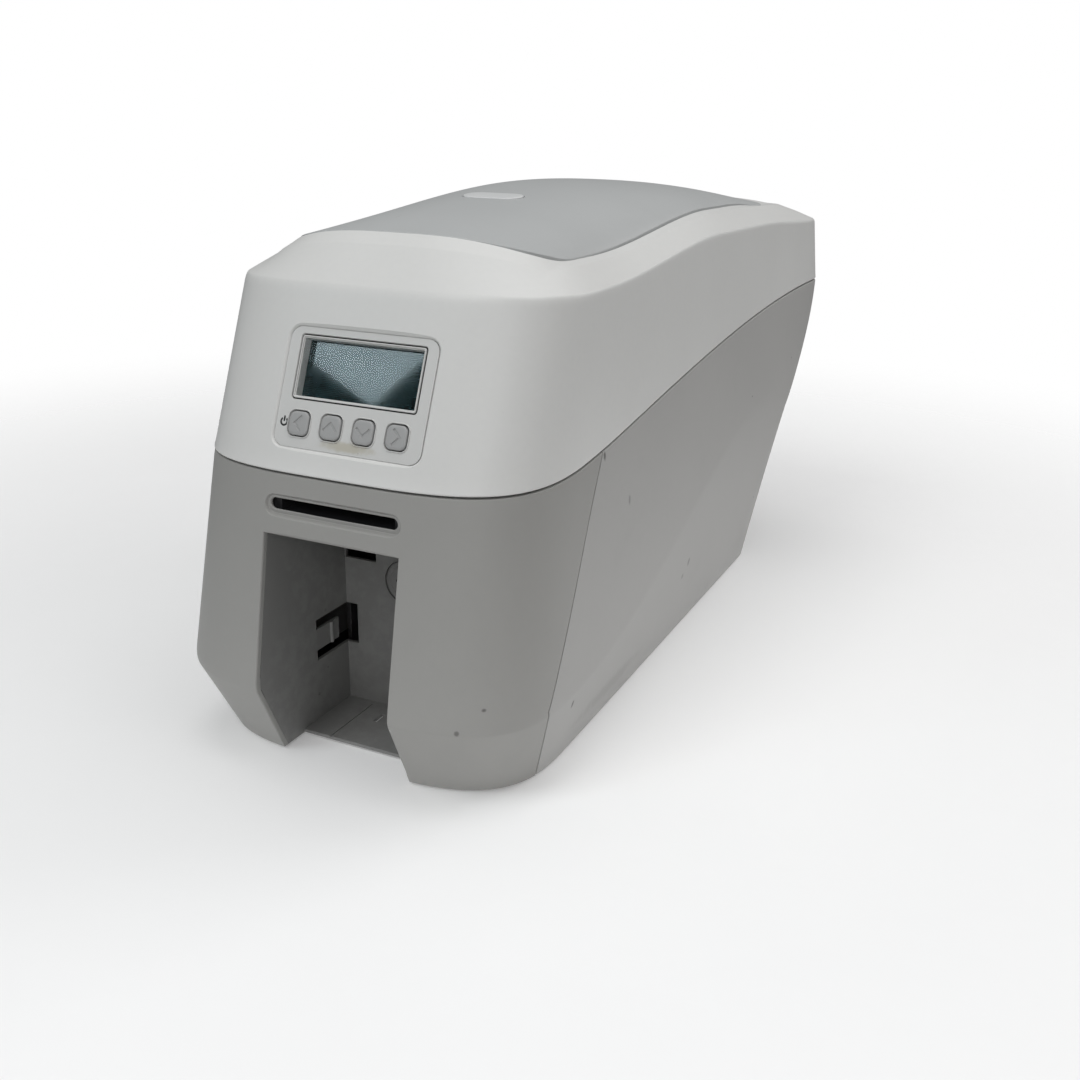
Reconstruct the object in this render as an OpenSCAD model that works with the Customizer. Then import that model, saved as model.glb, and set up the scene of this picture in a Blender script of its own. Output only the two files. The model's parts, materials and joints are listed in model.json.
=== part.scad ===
// Desktop card printer with a hinged cover, built as separate pieces.
// Millimetres, +Z up, the printer faces -Y and stands on Z = 0.
// Modules work in depth behind the chin (y = 0 there), and place() centres the body on the origin.

/* [Body] */
// Length of the housing from the chin to the rear face
body_len = 456; // [450:1:462]
// Half the width of the chin, the widest place in front
chin_half = 91.2; // [89:0.2:93]
// Half the width at the rear, where the body is widest
rear_half = 98.5; // [96:0.5:101]
// Half the width of the flat bottom
foot_half = 82; // [80:1:84]
// Wall of the moulded housings
wall = 2.6; // [2.4:0.1:2.8]

/* [Chin and side crease] */
// Height of the chin, where the front turns under
chin_z = 38; // [36:1:40]
// Height of the side crease at its highest, near the rear
crease_top_z = 115; // [110:1:120]
// How far the legs are undercut below the chin
chin_undercut = 17; // [15:1:19]

/* [Cover] */
// Height of the joint line between base and cover at the front
seam_front_z = 132.5; // [131:0.5:134]
// Height of the joint line at the rear
seam_rear_z = 177; // [176:0.5:178]
// Half the width at the joint line in front
seam_half = 85; // [84:0.5:87]
// How far the joint line lies behind the chin
seam_back = 16.9; // [16:0.1:18]
// Shadow gap between base and cover
seam_gap = 0.9; // [0.6:0.1:1.2]
// Height of the shoulder above the display
shoulder_z = 206.8; // [206:0.2:208]
// Depth of the shoulder behind the chin
shoulder_back = 46.8; // [46:0.2:48]
// Highest point of the top panel
crown_z = 243; // [241:1:245]

/* [Card bay and slot] */
// Half the width of the card bay
bay_half = 33.2; // [32:0.1:34]
// Height of the top edge of the bay
bay_top = 106.6; // [104:0.2:108]
// Depth of the back wall of the bay behind the chin
bay_back = 71; // [69:1:71]
// Height of the hand-feed slot and of the card path
path_z = 119.4; // [119:0.1:119.6]
// Width of the hand-feed slot
slot_w = 62.4; // [60:0.2:64]
// Height of the hand-feed slot
slot_h = 5; // [4.8:0.1:5.4]

/* [Display and keys] */
// Width of the display panel
panel_w = 70.8; // [68:0.2:72]
// Height of the display panel along the leaning front
panel_h = 50.4; // [49:0.2:51]
// Width of the screen window
window_w = 60.6; // [58:0.2:61]
// Height of the screen window
window_h = 27.5; // [26:0.1:28]
// Distance between neighbouring keys
key_pitch = 15.8; // [15.4:0.1:16]
// Width of a key
key_w = 9.8; // [9:0.1:11]
// Height of a key
key_h = 10.2; // [9.6:0.1:11]
// Travel of a key
key_travel = 0.5; // [0.3:0.1:0.5]

/* [Rollers and drive] */
// Radius of the platen roller
platen_r = 8; // [7.5:0.1:8]
// Radius of the feed rollers
feed_r = 6; // [5.5:0.1:6]
// Gear module
gear_m = 0.8; // [0.8:0.1:0.8]
// Teeth on the platen gear
platen_teeth = 36; // [36:1:36]
// Teeth on the idler gear
idler_teeth = 30; // [30:1:30]
// Teeth on the motor pinion
pinion_teeth = 12; // [12:1:12]

/* [Hinge] */
// Height of the hinge axis
hinge_z = 177.4; // [177.2:0.1:177.6]
// Outer radius of the hinge knuckles
knuckle_r = 5; // [4.6:0.1:5]
// Radius of the hinge pins
pin_r = 2.5; // [2.2:0.1:2.5]

/* [Hidden] */
$fn = 48;
fit = 0.05;
button_gap = 0.4;
foot_z = 1.2;
floor_z = foot_z + wall;
hinge_y = body_len - 1;
front_reach = 0.58;
body_mid = (front_reach + hinge_y + knuckle_r) / 2;
ledge = 9;
panel_drop = 4;

half_steps = 36;
front_steps = 12;
side_steps = 16;
rear_steps = half_steps - front_steps - side_steps;

// Where the shafts lie: depth behind the chin, height
platen_at = [230, path_z - 0.4 - platen_r];
feed_front_at = [120, path_z - 0.4 - feed_r];
feed_rear_at = [340, path_z - 0.4 - feed_r];
pinch_r = 5;
pinch_z = path_z + 0.9 + pinch_r;
cleaning_at = [95, path_z + 0.9 + feed_r];
supply_at = [310, 150];
take_up_at = [152, 148];
supply_r = 19;
take_up_r = 13;
plate_x = 36;
plate_t = 2;
gear_x = -46;
gear_t = 5;
motor_size = 42;

// Spacing of meshing gears, and the directions in which they follow each other
function pitch_r(n) = gear_m * n / 2;
idler_turn = -68;
pinion_turn = -53;
idler_at = platen_at + (pitch_r(platen_teeth) + pitch_r(idler_teeth)) * [cos(idler_turn), sin(idler_turn)];
pinion_at = idler_at + (pitch_r(idler_teeth) + pitch_r(pinion_teeth)) * [cos(pinion_turn), sin(pinion_turn)];

// Release button on the top panel, and the latch below it
button_y = 158;
button_r = 7.5;
button_half = 8;
latch_at = [130, 195];
latch_r = 3;
latch_pin_at = [133, 133];
latch_pin_r = 2;
screw_r = 1.5;
screw_hole_r = 1.6;
screw_head_r = 3;
screw_head_h = 1.6;
catch_reach = 10;
catch_head_h = 1.2;
hook_x = 41;
hook_t = 3.5;

// Display panel on the leaning front
lean = atan((shoulder_back - seam_back) / (shoulder_z - seam_front_z));
panel_x = 2.2;
keys_x = 1.9;
panel_mid = 37.2;
window_mid = 45.8;
keys_mid = 22;
panel_sink = 1.3;
skin_depth = 5.2;

function mix(a, b, t) = a + (b - a) * t;
function clamp01(t) = min(1, max(0, t));
function smooth(t) = let (c = clamp01(t)) c * c * (3 - 2 * c);
// Signed power, for superellipse corners
function spow(v, p) = sign(v) * pow(abs(v), p);

// Heights of the leading lines along the body, from the depth y behind the chin
function crease_z(y) = chin_z + (crease_top_z - chin_z) * smooth((y - 60) / 285)
    - 17 * smooth((y - 340) / 65);
function seam_rise(y) = let (q = (y - 90) / 360) clamp01((q + sqrt(q * q + 0.002)) / 2);
function seam_z(y) = seam_front_z + 0.03 * min(y - seam_back, 80)
    + (seam_rear_z - seam_front_z - 2.4) * sin(90 * seam_rise(y));
function shoulder_line_z(y) = shoulder_z + 13 * smooth((y - 95) / 150) - 4 * smooth((y - 320) / 110);
function rim_edge_z(y) = 217.5 + 11.5 * smooth((y - 122) / 150) - 4 * smooth((y - 310) / 100);
// The rim rises to a crown over the front edge and, less, over the rear edge
function rim_z(x, y) = rim_edge_z(y) + (y < 200 ? 10 : 4) * (1 - pow(min(1, abs(x) / 67), 3))
    * (y < 200 ? 1 - smooth((y - 80) / 32) : smooth((y - 385) / 20));
function crest_z(y) = 227.5 + (crown_z - 227.5) * sin(90 * clamp01((y - 70) / 175))
    - 15 * pow(clamp01((y - 245) / 165), 2);
function dome_z(x, y) = let (edge = rim_edge_z(y), half = mix(65.6, 71.6, clamp01((y - 112) / 224)))
    edge + max(0, crest_z(y) - edge) * pow(1 - pow(min(1, abs(x) / half), 2.5), 0.75);

// One level of the housing:
// [front half width, rear half width, front y, rear y, front depth, front power, rear depth, rear power]
levels = [
    [foot_half, foot_half, chin_undercut, body_len - 76, 66, 3.6, 24, 4],
    [chin_half, rear_half - 1, 0, body_len - 51, 72, 3.66, 26, 4],
    [seam_half, rear_half, seam_back, body_len, 72, 3.6, 28, 4],
    [seam_half - 1.5, rear_half - 3, shoulder_back, body_len - 5, 64, 3.6, 30, 4],
    [67, 73, 70, body_len - 48, 42, 3.4, 36, 3.4]
];
function shrink(l, d) = [l[0] - d, l[1] - d, l[2] + d, l[3] - d, l[4] - d, l[5], l[6] - d, l[7]];
// The rear face bulges between the crease and the joint line, so its depth follows a sine there
function between(k, t) = [for (j = [0:7]) mix(levels[k][j], levels[k + 1][j], k == 1 && j == 3 ? sin(90 * t) : t)];
function level_z(k, x, y) = k == 0 ? foot_z : k == 1 ? crease_z(y) : k == 2 ? seam_z(y)
    : k == 3 ? shoulder_line_z(y) : rim_z(x, y);

// Half outline of a level, from the front centre to the rear centre on the right side
function plan_point(l, i) =
    i <= front_steps
    ? let (a = 90 * i / front_steps)
        [l[0] * spow(sin(a), 2 / l[5]), l[2] + l[4] * (1 - spow(cos(a), 2 / l[5]))]
    : i <= front_steps + side_steps
    ? let (t = (i - front_steps) / side_steps)
        [mix(l[0], l[1], t), mix(l[2] + l[4], l[3] - l[6], t)]
    : let (a = 90 * (i - front_steps - side_steps) / rear_steps)
        [l[1] * spow(cos(a), 2 / l[7]), l[3] - l[6] + l[6] * spow(sin(a), 2 / l[7])];

// Closes a half outline with its mirror image
function both_sides(half) = concat(half, [for (i = [half_steps - 1:-1:1]) [-half[i][0], half[i][1], half[i][2]]]);
// A closed ring on the housing: s runs from 0 at the foot to 4 at the rim, inset by d and moved by lift,
// and by as much as rear towards the back
function skin_ring(s, d = 0, lift = 0, rear = 0) =
    let (k = min(3, floor(s)), t = s - k, l = shrink(between(k, t), d))
    both_sides([for (i = [0:half_steps]) let (p = plan_point(l, i))
        [p[0], p[1], mix(level_z(k, p[0], p[1]), level_z(k + 1, p[0], p[1]), t) + lift
            + rear * smooth((p[1] - 320) / 70)]]);
// A ring on the top panel: r is 0 at its edge and 1 at its middle
function dome_ring(r, d, lift) =
    both_sides([for (i = [0:half_steps]) let (p = plan_point(shrink(levels[4], d), i),
        x = p[0] * (1 - r), y = mix(p[1], 250, r)) [x, y, dome_z(x, y) + lift]]);

// Faces between n-point rings; wrap also joins the last ring to the first
function ring_faces(n, rings, wrap) = [for (k = [0:(wrap ? rings - 1 : rings - 2)], i = [0:n - 1], half = [0, 1])
    let (a = k * n, b = ((k + 1) % rings) * n, j = (i + 1) % n)
    half == 0 ? [a + i, b + i, b + j] : [a + i, b + j, a + j]];
// Skin through rings that close on themselves, as the wall of a shell does
module ring_wall(rings)
    polyhedron(points = [for (r = rings) each r], faces = ring_faces(len(rings[0]), len(rings), true));
// Skin through rings with a flat face on the first and the last
module ring_stack(rings) {
    n = len(rings[0]);
    polyhedron(points = [for (r = rings) each r],
        faces = concat(ring_faces(n, len(rings), false), [[for (i = [0:n - 1]) i]],
            [[for (i = [n - 1:-1:0]) (len(rings) - 1) * n + i]]));
}

module place() translate([0, -body_mid, 0]) children();
module both() { children(); mirror([1, 0, 0]) children(); }
// Extrudes a side profile, drawn as depth and height, from x0 to x1
module across(x0, x1) translate([x0, 0, 0]) rotate([90, 0, 90]) linear_extrude(x1 - x0) children();
// A cylinder along X at a place given as depth and height
module rod(at, r, x0, x1) translate([x0, at[0], at[1]]) rotate([0, 90, 0]) cylinder(r = r, h = x1 - x0);
// A tube along X
module tube(at, r, bore, x0, x1) difference() {
    rod(at, r, x0, x1);
    rod(at, bore, x0 - 1, x1 + 1);
}
// A cylinder along Y
module peg(x, z, r, y0, y1) translate([x, y1, z]) rotate([90, 0, 0]) cylinder(r = r, h = y1 - y0);
// A long hole or key with round ends, along X
module stadium(half, r, h) {
    for (x = [-half, half]) translate([x, 0, 0]) cylinder(r = r, h = h);
    translate([-half, -r, 0]) cube([2 * half, 2 * r, h]);
}
module round_slab(w, d, r, h) hull()
    for (x = [-w / 2 + r, w / 2 - r], y = [-d / 2 + r, d / 2 - r]) translate([x, y, 0]) cylinder(r = r, h = h, $fn = 24);
// The leaning front: x across, y up the front, z outwards
module on_front(x, up, out) translate([x, seam_back, seam_front_z]) rotate([90 - lean, 0, 0])
    translate([0, up, out]) children();
// The release button's own frame on the top panel
module on_button() translate([0, button_y, dome_z(0, button_y)])
    rotate([atan((dome_z(0, button_y + 4) - dome_z(0, button_y - 4)) / 8), 0, 0]) children();

// Front face of the grey front at the bay, from the height
function face_y(z) = z < chin_z ? mix(chin_undercut, 0, (z - foot_z) / (chin_z - foot_z))
    : mix(0, seam_back, (z - chin_z) / (seam_front_z - chin_z));

// Housing: base

module base_skin() ring_wall(concat(
    [for (s = [0, 1, 1.2, 1.4, 1.6, 1.8]) skin_ring(s)], [skin_ring(2, 0, -seam_gap / 2)],
    [skin_ring(2, wall, -seam_gap / 2)], [for (s = [1.6, 1.3, 1, 0]) skin_ring(s, wall)]));
// Side view of the front moulding, whose joint with the sides leans back
module front_zone() across(-120, 120)
    polygon([[-10, -1], [48, -1], [38, chin_z + 1], [98, 136.5], [104, 150], [-10, 150]]);
// The space inside the base, from just within its outer skin, which trims the bosses
module base_core() ring_stack([for (s = [0, 1, 1.2, 1.4, 1.6, 1.8, 2]) skin_ring(s, 1.2)]);
module rear_window() hull() for (x = [-30, 30], z = [42, 66]) peg(x, z, 2, 370, 420, $fn = 16);
// Frees the knuckles where the cover and the base meet
module knuckle_room() for (s = [-1, 1]) hull() for (x = [50.5, 75.5])
    rod([hinge_y, hinge_z], knuckle_r + 1, s * x - 1, s * x + 1, $fn = 24);

module base_shell() color("#9a9b9c") place() union() {
    difference() {
        base_skin();
        translate([0, 0.4, 0]) front_zone();
        rear_window();
        for (i = [-5:5]) hull() for (z = [79, 92]) peg(i * 9, z, 1.6, 380, 430, $fn = 12);
        knuckle_room();
        for (s = [-1, 1]) translate([s * 63 - 14, body_len - 24, 162]) cube([28, 30, 30]);
        translate([-120, body_len - 14, seam_rear_z - 2]) cube([240, 30, 10]);
    }
    intersection() {
        base_core();
        for (s = [-1, 1]) hull() for (z = [146, 152]) peg(s * 63, z, 3.5, 435, 460, $fn = 16);
    }
}

module front_fascia() color("#a3a4a5") place() union() {
    difference() {
        intersection() {
            base_skin();
            front_zone();
        }
        translate([-bay_half, -5, -1]) cube([2 * bay_half, 40, bay_top + 1]);
        hull() for (s = [-1, 1]) peg(s * (slot_w - slot_h) / 2, path_z, slot_h / 2, -5, 40, $fn = 24);
        hull() for (s = [-1, 1]) peg(s * (slot_w - slot_h) / 2, path_z - 0.4, slot_h / 2 + 1.7, -5, 16.4, $fn = 24);
    }
    intersection() {
        base_core();
        for (s = [-1, 1], z = [28, 66, 104]) hull() for (x = [50, 58]) peg(s * x, z, 3, -5, face_y(z) + 24, $fn = 12);
    }
}

// Side view of the bay's side walls, whose front edge follows the front moulding
function bay_edge(z) = face_y(z) + wall + 1;
bay_roof = bay_top + 1.8;
module bay_side() polygon([[bay_edge(foot_z), foot_z], [bay_edge(chin_z), chin_z],
    [bay_edge(bay_roof), bay_roof], [bay_back + 1.8, bay_roof], [bay_back + 1.8, foot_z]]);

module hopper_bay() color("#8f9091") place() {
    difference() {
        union() {
            across(-bay_half - 1.8, -bay_half) bay_side();
            across(bay_half, bay_half + 1.8) bay_side();
            translate([-bay_half - 1, bay_back, foot_z]) cube([2 * bay_half + 2, 1.8, bay_top - foot_z + 1]);
            translate([-bay_half - 1, bay_edge(bay_roof), bay_top]) cube([2 * bay_half + 2, bay_back - bay_edge(bay_roof) + 1, 1.8]);
            translate([-bay_half - 1, 33, foot_z]) cube([2 * bay_half + 2, bay_back - 32, 1.6]);
        }
        // Card exit with its side notch
        translate([-29, bay_back - 1, 84]) cube([58, 4, 9]);
        translate([-bay_half + 0.4, bay_back - 1, 76.5]) cube([17, 4, 13]);
        // Seat of the round plug
        peg(0, 69, 11, bay_back - 1, bay_back + 3);
        // Window round the spring tongue, which wraps on to the back wall
        translate([-bay_half - 3, 46, 32.5]) cube([4, 30, 20.5]);
        translate([-bay_half - 1, bay_back - 1, 32.5]) cube([7, 4, 20.5]);
        // Grooves of the floor
        translate([-18.8, 32, foot_z + 1.1]) cube([0.7, 36, 1]);
        translate([-9, 54, foot_z - 1]) cube([1.8, 8, 4]);
    }
    translate([-bay_half - 1.6, 45, 37.5]) cube([1.4, 19, 10.5]);
    translate([-bay_half - 0.4, 58, 37.5]) cylinder(r = 1.2, h = 10.5);
}

module bay_plug() color("#858687") place() {
    peg(0, 69, 10.6, bay_back + 0.3, bay_back + 1.8);
    peg(0, 69, 12.6, bay_back + 1.8, bay_back + 3.2);
}

module slot_guide() color("#2b2c2e") place() difference() {
    union() {
        translate([-32.5, 19.6, 112]) cube([65, 56.4, 14]);
        for (s = [-1, 1]) translate([s * 33.8 - 2, 62, 119]) cube([4, 22, 7]);
    }
    translate([-28, 10, path_z - 2.3]) cube([56, 80, 4.6]);
    across(-28, 28) polygon([[10, path_z - 8], [10, path_z + 8], [30, path_z + 2.2], [30, path_z - 2.2]]);
    translate([-24, 34, 122.6]) cube([48, 34, 5]);
    translate([-24, 34, 111]) cube([48, 34, 5]);
}

function foot_outline(d) = let (l = shrink(levels[0], d), h = [for (i = [0:half_steps]) plan_point(l, i)])
    concat(h, [for (i = [half_steps - 1:-1:1]) [-h[i][0], h[i][1]]]);
feet_at = [for (x = [-62, 62], y = [60, 345]) [x, y]];
board_posts = [for (x = [-27, 27], y = [136, 228, 320]) [x, y]];
flange_screws = [for (x = [-44, 44], y = [96, 180, 264, 350]) [x, y]];

module base_tray() color("#4b4c4e") place() {
    difference() {
        translate([0, 0, foot_z]) linear_extrude(wall) polygon(foot_outline(wall + 0.5));
        translate([-bay_half - 2.2, 0, 0]) cube([2 * bay_half + 4.4, bay_back + 2.4, 10]);
        for (p = feet_at) translate([p[0], p[1], 0]) cylinder(r = 3 + fit, h = 10);
        for (p = flange_screws) translate([p[0], p[1], 0]) cylinder(r = screw_hole_r, h = 10);
        for (x = [-68, 68], i = [0:7]) translate([x - 6, 130 + i * 14, 0]) cube([12, 4, 10]);
    }
    for (p = board_posts) translate([p[0], p[1], floor_z - 0.5]) cylinder(r = 3.2, h = 8.7);
}

module rubber_feet() color("#1d1d1f") place() for (p = feet_at) translate([p[0], p[1], 0]) {
    cylinder(r = 8.5, h = foot_z);
    cylinder(r = 3, h = floor_z);
    translate([0, 0, floor_z]) cylinder(r1 = 4.2, r2 = 3.2, h = 1.4);
}

// Chassis

// Side view of a chassis plate: ears carry the spools, and the front and rear stand proud of the path
module plate_side() difference() {
    polygon([[78, floor_z], [368, floor_z], [394, 100], [402, 118], [402, 136], [332, 136], [326, 158], [294, 158], [288, 132],
        [170, 132], [166, 156], [138, 156], [134, 136.5], [78, 131]]);
    for (y = [96, 156, 276, 322]) translate([y, 30]) square([34, 44]);
    for (y = [96, 300]) translate([y, 84]) square([64, 14]);
    // Open seats of the spools and of the cleaning roller
    for (p = [supply_at, take_up_at]) {
        translate(p) circle(r = 4.3);
        translate([p[0] - 4.3, p[1]]) square([8.6, 30]);
    }
    translate(cleaning_at) circle(r = 2.3);
    translate([cleaning_at[0] - 2.3, cleaning_at[1]]) square([4.6, 30]);
    for (y = [feed_front_at[0], feed_rear_at[0]]) translate([y, pinch_z]) circle(r = 2 + fit);
    for (p = [feed_front_at, feed_rear_at]) translate(p) circle(r = 4.5);
    translate(platen_at) circle(r = 5);
}
// A plate with its bent foot flange; side is -1 on the left
module chassis_plate(side) difference() {
    union() {
        across(side < 0 ? -plate_x - plate_t : plate_x, side < 0 ? -plate_x : plate_x + plate_t) plate_side();
        translate([side < 0 ? -plate_x - 14 : plate_x, 84, floor_z]) cube([14, 280, 1.6]);
    }
    for (p = flange_screws) translate([p[0], p[1], 0]) cylinder(r = screw_hole_r, h = 10);
    rod(latch_pin_at, screw_hole_r, -60, 60);
    if (side < 0) {
        rod(pinion_at, 11.1, -60, 0);
        for (y = [-15.5, 15.5], z = [-15.5, 15.5]) rod(pinion_at + [y, z], 1.6, -60, 0);
        rod(idler_at, 2.5 + fit, -60, 0);
    }
}
module chassis_plate_left() color("#b9bcc0") place() chassis_plate(-1);
module chassis_plate_right() color("#b9bcc0") place() chassis_plate(1);

module card_deck() color("#303134") place() difference() {
    union() {
        translate([-plate_x + 0.1, 78, 113.6]) cube([2 * plate_x - 0.2, 322, 2]);
        for (s = [-1, 1]) translate([s * (plate_x - 1.35) - 1.25, 79, 99]) cube([2.5, 320, 16]);
        for (x = [-27, -15, -2, 11, 23]) translate([x, 78, 115]) cube([2.4, 322, path_z - 116]);
        translate([-34.5, 396, 104]) cube([69, 2, 10]);
    }
    for (p = [feed_front_at, platen_at, feed_rear_at]) {
        translate([-plate_x + 2.3, p[0] - 10.5, 98]) cube([2 * plate_x - 4.6, 21, 30]);
        rod(p, 4.2, -plate_x - 1, plate_x + 1);
    }
    // Finished cards fall through here on to the chute
    translate([-28.5, 82, 98]) cube([57, 27, 30]);
}

module exit_chute() color("#303134") place() {
    across(2.6 - plate_x, plate_x - 2.6) polygon([[107, 105.5], [109, 104.5], [90, 85.5], [bay_back + 2.4, 81.9],
        [bay_back + 2.4, 83.5], [89, 87.3]]);
    for (s = [-1, 1]) across(s > 0 ? 27 : -28.5, s > 0 ? 28.5 : -27)
        polygon([[107, 105.5], [109, 104.5], [90, 85.5], [bay_back + 2.4, 81.9], [bay_back + 2.4, 92], [86, 96]]);
}

module bush(at, r, bore, side) {
    x0 = side < 0 ? -plate_x - plate_t : plate_x;
    tube(at, r - 0.02, bore + fit, x0, x0 + plate_t);
    tube(at, r + 1.6, bore + fit, side < 0 ? x0 - 1.2 : x0 + plate_t, side < 0 ? x0 : x0 + plate_t + 1.2);
}
module shaft_bushes() color("#c79a55") place() for (side = [-1, 1]) {
    bush(platen_at, 5, 3, side);
    bush(feed_front_at, 4.5, 2.5, side);
    bush(feed_rear_at, 4.5, 2.5, side);
}

module idler_stud() color("#c9ccd0") place() {
    rod(idler_at, 2.5, -50, -plate_x);
    rod(idler_at, 4, -51.5, -50);
}

module drive_motor() color("#34363a") place() difference() {
    union() {
        across(-plate_x, -plate_x + 2.5) motor_face();
        across(-plate_x + 2.5, -7) motor_face(1.2);
        across(-7, -2) motor_face();
        rod(pinion_at, 11, -plate_x - plate_t, -plate_x);
    }
    rod(pinion_at, 2.5 + fit, -60, -20);
    for (y = [-15.5, 15.5], z = [-15.5, 15.5]) rod(pinion_at + [y, z], 1.5, -60, -plate_x + 5);
}
// The motor seen along its shaft, a square with its corners cut off
module motor_face(inset = 0) translate(pinion_at) polygon([for (q = [0:3], c = [0, 1])
    let (h = motor_size / 2 - inset, a = c == 0 ? [h, h - 5] : [h - 5, h])
    [a[0] * cos(90 * q) - a[1] * sin(90 * q), a[0] * sin(90 * q) + a[1] * cos(90 * q)]]);

// Belt loop round two pulleys of the given radii
module belt(a, ra, b, rb, x0) across(x0 + 0.3, x0 + 3.7) difference() {
    hull() {
        translate(a) circle(r = ra + 1.5);
        translate(b) circle(r = rb + 1.5);
    }
    hull() {
        translate(a) circle(r = ra);
        translate(b) circle(r = rb);
    }
}
module drive_belts() color("#1c1c1e") place() {
    belt(platen_at, platen_r, feed_front_at, feed_r, -53);
    belt(platen_at, platen_r, feed_rear_at, feed_r, -60);
}

module main_board() color("#2d6a45") place() {
    difference() {
        translate([-32, 130, floor_z + 8.2]) cube([64, 196, 1.6]);
        for (p = board_posts) translate([p[0], p[1], 0]) cylinder(r = 1.5, h = 30);
    }
    top = floor_z + 9.8;
    translate([-12, 190, top]) cube([20, 20, 2]);
    translate([-20, 260, top]) cube([12, 16, 1.6]);
    translate([6, 150, top]) cube([14, 12, 1.6]);
    for (y = [150, 166, 182]) translate([-22, y, top]) cylinder(r = 5, h = 12);
    for (y = [245, 262, 279]) translate([16, y, top]) cube([8, 14, 7]);
    translate([-14, 306, top]) cube([28, 12, 9]);
}

// Rear sockets

module socket_panel() color("#3a3b3d") place() difference() {
    translate([-35.4, 383.4, 34]) cube([70.8, 2.2, 40]);
    peg(-24, 54, 5.6, 380, 390);
    translate([-12.2, 380, 47.8]) cube([12.4, 10, 11.4]);
    translate([7.8, 380, 46.8]) cube([16.4, 10, 13.4]);
}
module power_inlet() color("#151517") place() {
    difference() {
        union() {
            peg(-24, 54, 5.4, 373, 386);
            translate([-31, 366, 47]) cube([14, 17, 14]);
        }
        peg(-24, 54, 4, 369, 392);
    }
    peg(-24, 54, 1.2, 368, 383.6);
}
module usb_socket() color("#c4c7ca") place() {
    difference() {
        translate([-12, 366, 48]) cube([12, 20, 11]);
        translate([-11.2, 369, 48.8]) cube([10.4, 30, 9.4]);
    }
    translate([-8.8, 368.5, 51.4]) cube([5.6, 14, 4.2]);
}
module network_socket() color("#c4c7ca") place() difference() {
    translate([8, 365, 47]) cube([16, 21, 13]);
    translate([9.8, 369, 48.6]) cube([12.4, 30, 8.4]);
    translate([13, 369, 56]) cube([6, 30, 2.6]);
}

// Hinge

module base_knuckles() for (x = [50, 66]) {
    tube([hinge_y, hinge_z], knuckle_r, pin_r, x, x + 10);
    difference() {
        across(x, x + 10) polygon([[431, 140], [435, 140], [435, 164], [hinge_y - 2, 173.2], [hinge_y - 4, 178],
            [431, 169]]);
        rod([hinge_y, hinge_z], pin_r, x - 1, x + 11);
    }
}
module hinge_brackets() color("#55575a") place() both() {
    base_knuckles();
    translate([50, 431, 140]) cube([26, 4, 24]);
}
module hinge_pins() color("#d2d5d8") place() both() rod([hinge_y, hinge_z], pin_r, 50, 76);

module hinge_arms() color("#46484b") place() both() difference() {
    union() {
        rod([hinge_y, hinge_z], knuckle_r, 60.4, 65.6);
        across(60.4, 65.6) polygon([[400, 181], [440, 181], [448, 178.5], [hinge_y, 173.6], [hinge_y, 182.2],
            [444, 187], [400, 187]]);
    }
    rod([hinge_y, hinge_z], pin_r + fit, 55, 70);
}

// A shoulder screw through a chassis plate, whose smooth neck is the catch of a cover hook
module catch_screw() {
    rod(latch_pin_at, screw_r, plate_x, plate_x + plate_t + 1);
    rod(latch_pin_at, latch_pin_r, plate_x + plate_t, plate_x + catch_reach);
    rod(latch_pin_at, screw_head_r, plate_x + catch_reach, plate_x + catch_reach + catch_head_h);
}
module chassis_screws() color("#8c8f93") place() {
    for (p = flange_screws) translate([p[0], p[1], foot_z]) {
        cylinder(r = screw_r, h = wall + 1.6);
        translate([0, 0, wall + 1.6]) cylinder(r = screw_head_r, h = screw_head_h);
    }
    both() catch_screw();
}

// Gears, rollers and spools

function involute(pr, r) = let (a = acos(min(1, pr * cos(20) / r))) tan(a) * 180 / PI - a;
// A gear outline; a tooth is centred on the angle turn
module gear_outline(n, turn) {
    pr = pitch_r(n);
    tip = pr + 0.85 * gear_m;
    root = pr - 1.2 * gear_m;
    radii = [root, max(root, pr * cos(20)), pr, tip];
    half = function (r) 90 / n * 0.9 + involute(pr, pr) - involute(pr, max(r, pr * cos(20)));
    polygon([for (k = [0:n - 1], j = [0:7]) let (r = radii[j < 4 ? j : 7 - j],
        a = turn + 360 * k / n + (j < 4 ? -1 : 1) * half(r)) r * [cos(a), sin(a)]]);
}
// The turn of gear b, in mesh with gear a whose own turn is known, seen along the direction dir
function mesh_turn(na, turn_a, nb, dir) = let (off = (dir - turn_a) * na / 360)
    dir + 180 - 360 / nb * (0.5 - (off - floor(off)));
platen_phase = idler_turn;
idler_phase = mesh_turn(platen_teeth, platen_phase, idler_teeth, idler_turn);
pinion_phase = mesh_turn(idler_teeth, idler_phase, pinion_teeth, pinion_turn);

module gear(at, n, turn, bore) difference() {
    across(gear_x, gear_x + gear_t) translate(at) gear_outline(n, turn);
    rod(at, bore, gear_x - 1, gear_x + gear_t + 1);
}
// A flanged belt pulley along X
module pulley(at, r, bore, x0) {
    tube(at, r - 0.3, bore, x0, x0 + 4);
    for (x = [x0 - 1, x0 + 4]) tube(at, r + 1.8, bore, x, x + 1);
}

module platen_shaft() color("#c9ccd0") place() {
    rod(platen_at, 3, -62, 42);
    rod(platen_at, 4, -33.2, -31);
    rod(platen_at, 4, 31, 33.2);
}
module platen_rubber() color("#232326") place() tube(platen_at, platen_r, 3, -29, 29);
module platen_gear() color("#e8e6df") place() {
    gear(platen_at, platen_teeth, platen_phase, 3);
    tube(platen_at, 7, 3, -48, gear_x);
    pulley(platen_at, platen_r, 3, -53);
    pulley(platen_at, platen_r, 3, -60);
    tube(platen_at, 6, 3, -55, -54);
}

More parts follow.
